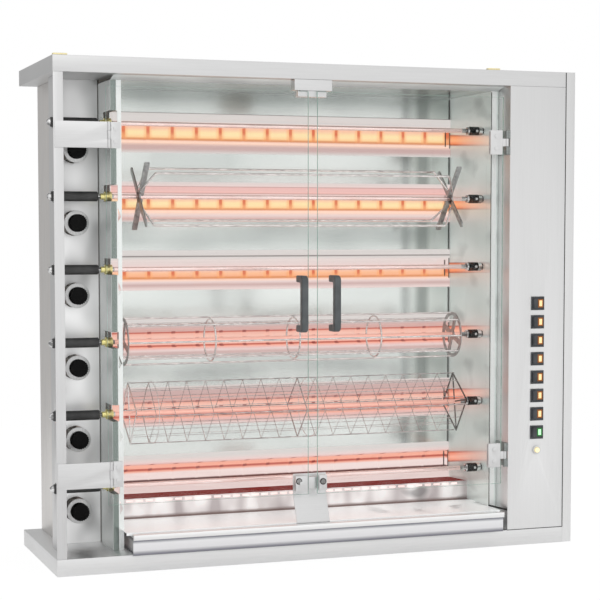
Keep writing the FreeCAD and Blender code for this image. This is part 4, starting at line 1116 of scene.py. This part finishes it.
def wirePattern():
    # lines carry a round profile: the corner rods, the long wires and the cross hoops of the basket
    tree, given = newPattern("basketWires", {
        "Wire": "Float", "Hoop Pitch": "Float", "Length": "Float", "Reach": "Float",
        "Bays": "Int", "Rods Per Side": "Int",
    })

    def circle(resolution, radius):
        values = {"Resolution": resolution, "Radius": given[radius]}
        return addNode(tree, "GeometryNodeCurvePrimitiveCircle", values).outputs["Curve"]

    def wire(curve, caps):
        values = {"Curve": curve, "Profile Curve": profile, "Fill Caps": caps}
        return addNode(tree, "GeometryNodeCurveToMesh", values).outputs["Mesh"]

    def alongSpit(name):
        return addNode(tree, "ShaderNodeCombineXYZ", {"X": given[name]}).outputs[0]

    profile = circle(6, "Wire")
    # one diamond hoop, square to the spit
    turned = {"Geometry": circle(4, "Reach"), "Rotation": (0.0, math.pi / 2, 0.0)}
    upright = addNode(tree, "GeometryNodeTransform", turned).outputs[0]
    pitch = alongSpit("Hoop Pitch")
    line = {"mode": "OFFSET", "Count": given["Bays"], "Start Location": pitch, "Offset": pitch}
    hoops = scatter(tree, addNode(tree, "GeometryNodeMeshLine", line).outputs["Mesh"], wire(upright, False))
    # long wires stand on the points of a finely divided hoop
    around = maths(tree, "MULTIPLY", given["Rods Per Side"], 4.0)
    divided = {"mode": "COUNT", "Curve": upright, "Count": around}
    points = addNode(tree, "GeometryNodeResampleCurve", divided).outputs["Curve"]
    rod = addNode(tree, "GeometryNodeCurvePrimitiveLine", {"End": alongSpit("Length")}).outputs["Curve"]
    return closePattern(tree, given, (hoops, scatter(tree, points, wire(rod, True))))


def diamondFrame(x0):
    # the basket's end: a diamond rim of narrow bar with crossed spokes
    shape = bmesh.new()
    y, z = levels["spitY"], levelZ(5)
    reach, rim, bar = meshBasket["reach"], meshBasket["rimHalf"], meshBasket["spokeHalf"]
    turns = [math.radians(meshBasket["endTurn"]) + i * math.pi / 2 for i in range(4)]
    ring = [(math.sin(turn), math.cos(turn)) for turn in turns]
    rims = [
        [shape.verts.new(at(x0, y + a * radius, z + b * radius)) for a, b in ring]
        for radius in (reach + rim, reach - rim)
    ]
    faces = bridge(shape, *rims)
    tip = reach * meshBasket["spokeReach"]
    for a, b in ring:
        p, q = b * bar, -a * bar
        corners = ((p, q), (a * tip + p, b * tip + q), (a * tip - p, b * tip - q), (-p, -q))
        x = x0 + meshBasket["spokeSet"]
        faces.append(shape.faces.new([shape.verts.new(at(x, y + p, z + q)) for p, q in corners]))
    thicken(shape, faces, meshBasket["endPlate"])
    return closeShape(shape)


def makeMeshBasket():
    length = (meshBasket["right"] - meshBasket["left"]) / 1000
    start = Matrix.Translation(at(meshBasket["left"], levels["spitY"], levelZ(5)))
    tree = wirePattern()
    common = {"Length": length, "Reach": meshBasket["reach"] / 1000, "Material": finish["meshWire"]}
    fine = runPattern(tree, {
        **common, "Wire": meshBasket["wire"] / 1000, "Hoop Pitch": length / meshBasket["bays"],
        "Bays": meshBasket["bays"] - 1, "Rods Per Side": meshBasket["rodsPerSide"],
    })
    stout = runPattern(tree, {
        **common, "Wire": meshBasket["cornerWire"] / 1000, "Hoop Pitch": length / 2, "Bays": 1, "Rods Per Side": 1,
    })
    fine.transform(start)
    stout.transform(start)
    turns = [math.radians(30 * i) for i in range(13)]
    ring = [(meshBasket["ringReach"] * math.sin(turn), meshBasket["ringReach"] * math.cos(turn)) for turn in turns]
    rings = [[at(x, levels["spitY"] + out, levelZ(5) + up) for out, up in ring] for x in meshBasket["rings"]]
    ends = [diamondFrame(meshBasket["left"] - meshBasket["endPlate"]), diamondFrame(meshBasket["right"])]
    order = ("meshWire", "wire", "meshWire", "wire", "frameBar")
    parts = [fine, wireMesh(rings, meshBasket["wire"]), stout, *ends]
    mesh = joinMeshes(parts, [finish[look] for look in order])
    placePiece("mesh_basket_5_wires", mesh, "spit_assembly_5", ("mesh_basket_5",))


print("mesh basket")
makeMeshBasket()


# Drain gutter that shows through the slots of the drip floor

gutter = {"ends": (150.0, 1019.0), "outline": ((183.0, 111.0), (186.0, 114.0), (186.0, 122.0)), "thick": 1.2}


def makeGutter():
    shape = foldedShape(gutter["outline"], gutter["ends"])
    bmesh.ops.recalc_face_normals(shape, faces=shape.faces)
    bmesh.ops.solidify(shape, geom=shape.faces[:], thickness=gutter["thick"] / 1000)
    placePiece("drain_gutter", closeShape(shape, finish["gutter"]), "cabinet")


print("drain gutter")
makeGutter()


# Grub screws in the drive sockets, and the screws of the glass clamps

grubs = {"x": 1001.0, "rings": ((97.0, 3.0), (95.4, 3.0), (94.9, 2.4))}
clampScrews = {
    "left": (532.5, 173.7), "right": (587.9, 171.3), "castFrom": -60.0,
    "washer": ((0.5, 7.4), (-0.5, 7.4), (-0.9, 6.8)), "head": ((0.0, 5.0), (-1.3, 5.0), (-1.9, 3.8)),
}


def turnedHead(x, z, profile, *materials):
    # a closed turned form about a line to the front: profile gives each ring's y and radius, from the back
    shape = bmesh.new()
    turns = [math.radians(30 * i) for i in range(12)]
    rings = []
    for y, radius in profile:
        ring = [at(x + radius * math.cos(turn), y, z + radius * math.sin(turn)) for turn in turns]
        rings.append([shape.verts.new(place) for place in ring])
    for inner, outer in zip(rings, rings[1:]):
        bridge(shape, inner, outer)
    shape.faces.new(rings[0])
    shape.faces.new(rings[-1])
    return closeShape(shape, *materials)


def makeGrub(number):
    mesh = turnedHead(grubs["x"], levelZ(number), grubs["rings"], finish["fitting"])
    placePiece("socket_grub_%d" % number, mesh, "spit_assembly_%d" % number)


def makeClampScrew(side):
    # the screw sits on the clamp's front face, found by a ray from the front
    x, z = clampScrews[side]
    node = "door_fittings_" + side
    solid = cadNodes[node].data
    surface = BVHTree.FromPolygons([v.co for v in solid.vertices], [tuple(p.vertices) for p in solid.polygons])
    spot = surface.ray_cast(at(x, clampScrews["castFrom"], z), Vector((0, 1, 0)))[0]
    face = (spot.y - at(0, 0, 0).y) * 1000
    parts = [
        turnedHead(x, z, [(face + y, radius) for y, radius in clampScrews[key]]) for key in ("washer", "head")
    ]
    mesh = joinMeshes(parts, [finish["frameBar"], finish["blade"]])
    placePiece("clamp_screw_" + side, mesh, "door_" + side)


print("screws")
for number in rowNumbers:
    makeGrub(number)
for side in ("left", "right"):
    makeClampScrew(side)


# Screws of the rear panel

rearScrews = {
    "left": 60.0, "right": 1160.0, "low": 55.0, "high": 1025.0, "y": 380.0, "columns": 9, "rows": 8,
    "head": 4.2, "height": 1.8, "smoothTurn": 60,
}


def screwPattern():
    # pan-head screws at the points of the panel's rim
    tree, given = newPattern("rimScrews", {"Head Radius": "Float", "Head Height": "Float"})
    ball = {"Segments": 12, "Rings": 8, "Radius": given["Head Radius"]}
    dome = addNode(tree, "GeometryNodeMeshUVSphere", ball).outputs["Mesh"]
    flat = maths(tree, "DIVIDE", given["Head Height"], given["Head Radius"])
    squash = addNode(tree, "ShaderNodeCombineXYZ", {"X": 1.0, "Y": flat, "Z": 1.0}).outputs[0]
    head = addNode(tree, "GeometryNodeTransform", {"Geometry": dome, "Scale": squash}).outputs[0]
    return closePattern(tree, given, (scatter(tree, given["Geometry"], head),))


def spaced(low, high, count):
    return [low + (high - low) * i / count for i in range(count + 1)]


def makeRearScrews():
    left, right, low, high = [rearScrews[key] for key in ("left", "right", "low", "high")]
    places = [(x, z) for x in spaced(left, right, rearScrews["columns"] - 1) for z in (low, high)]
    places += [(x, z) for z in spaced(low, high, rearScrews["rows"])[1:-1] for x in (left, right)]
    values = {
        "Head Radius": rearScrews["head"] / 1000, "Head Height": rearScrews["height"] / 1000,
        "Material": finish["fitting"],
    }
    mesh = runPattern(screwPattern(), values, [at(x, rearScrews["y"], z) for x, z in places])
    smooth(mesh, rearScrews["smoothTurn"])
    placePiece("rear_screws", mesh, "cabinet")


print("rear screws")
makeRearScrews()

print("finishing")
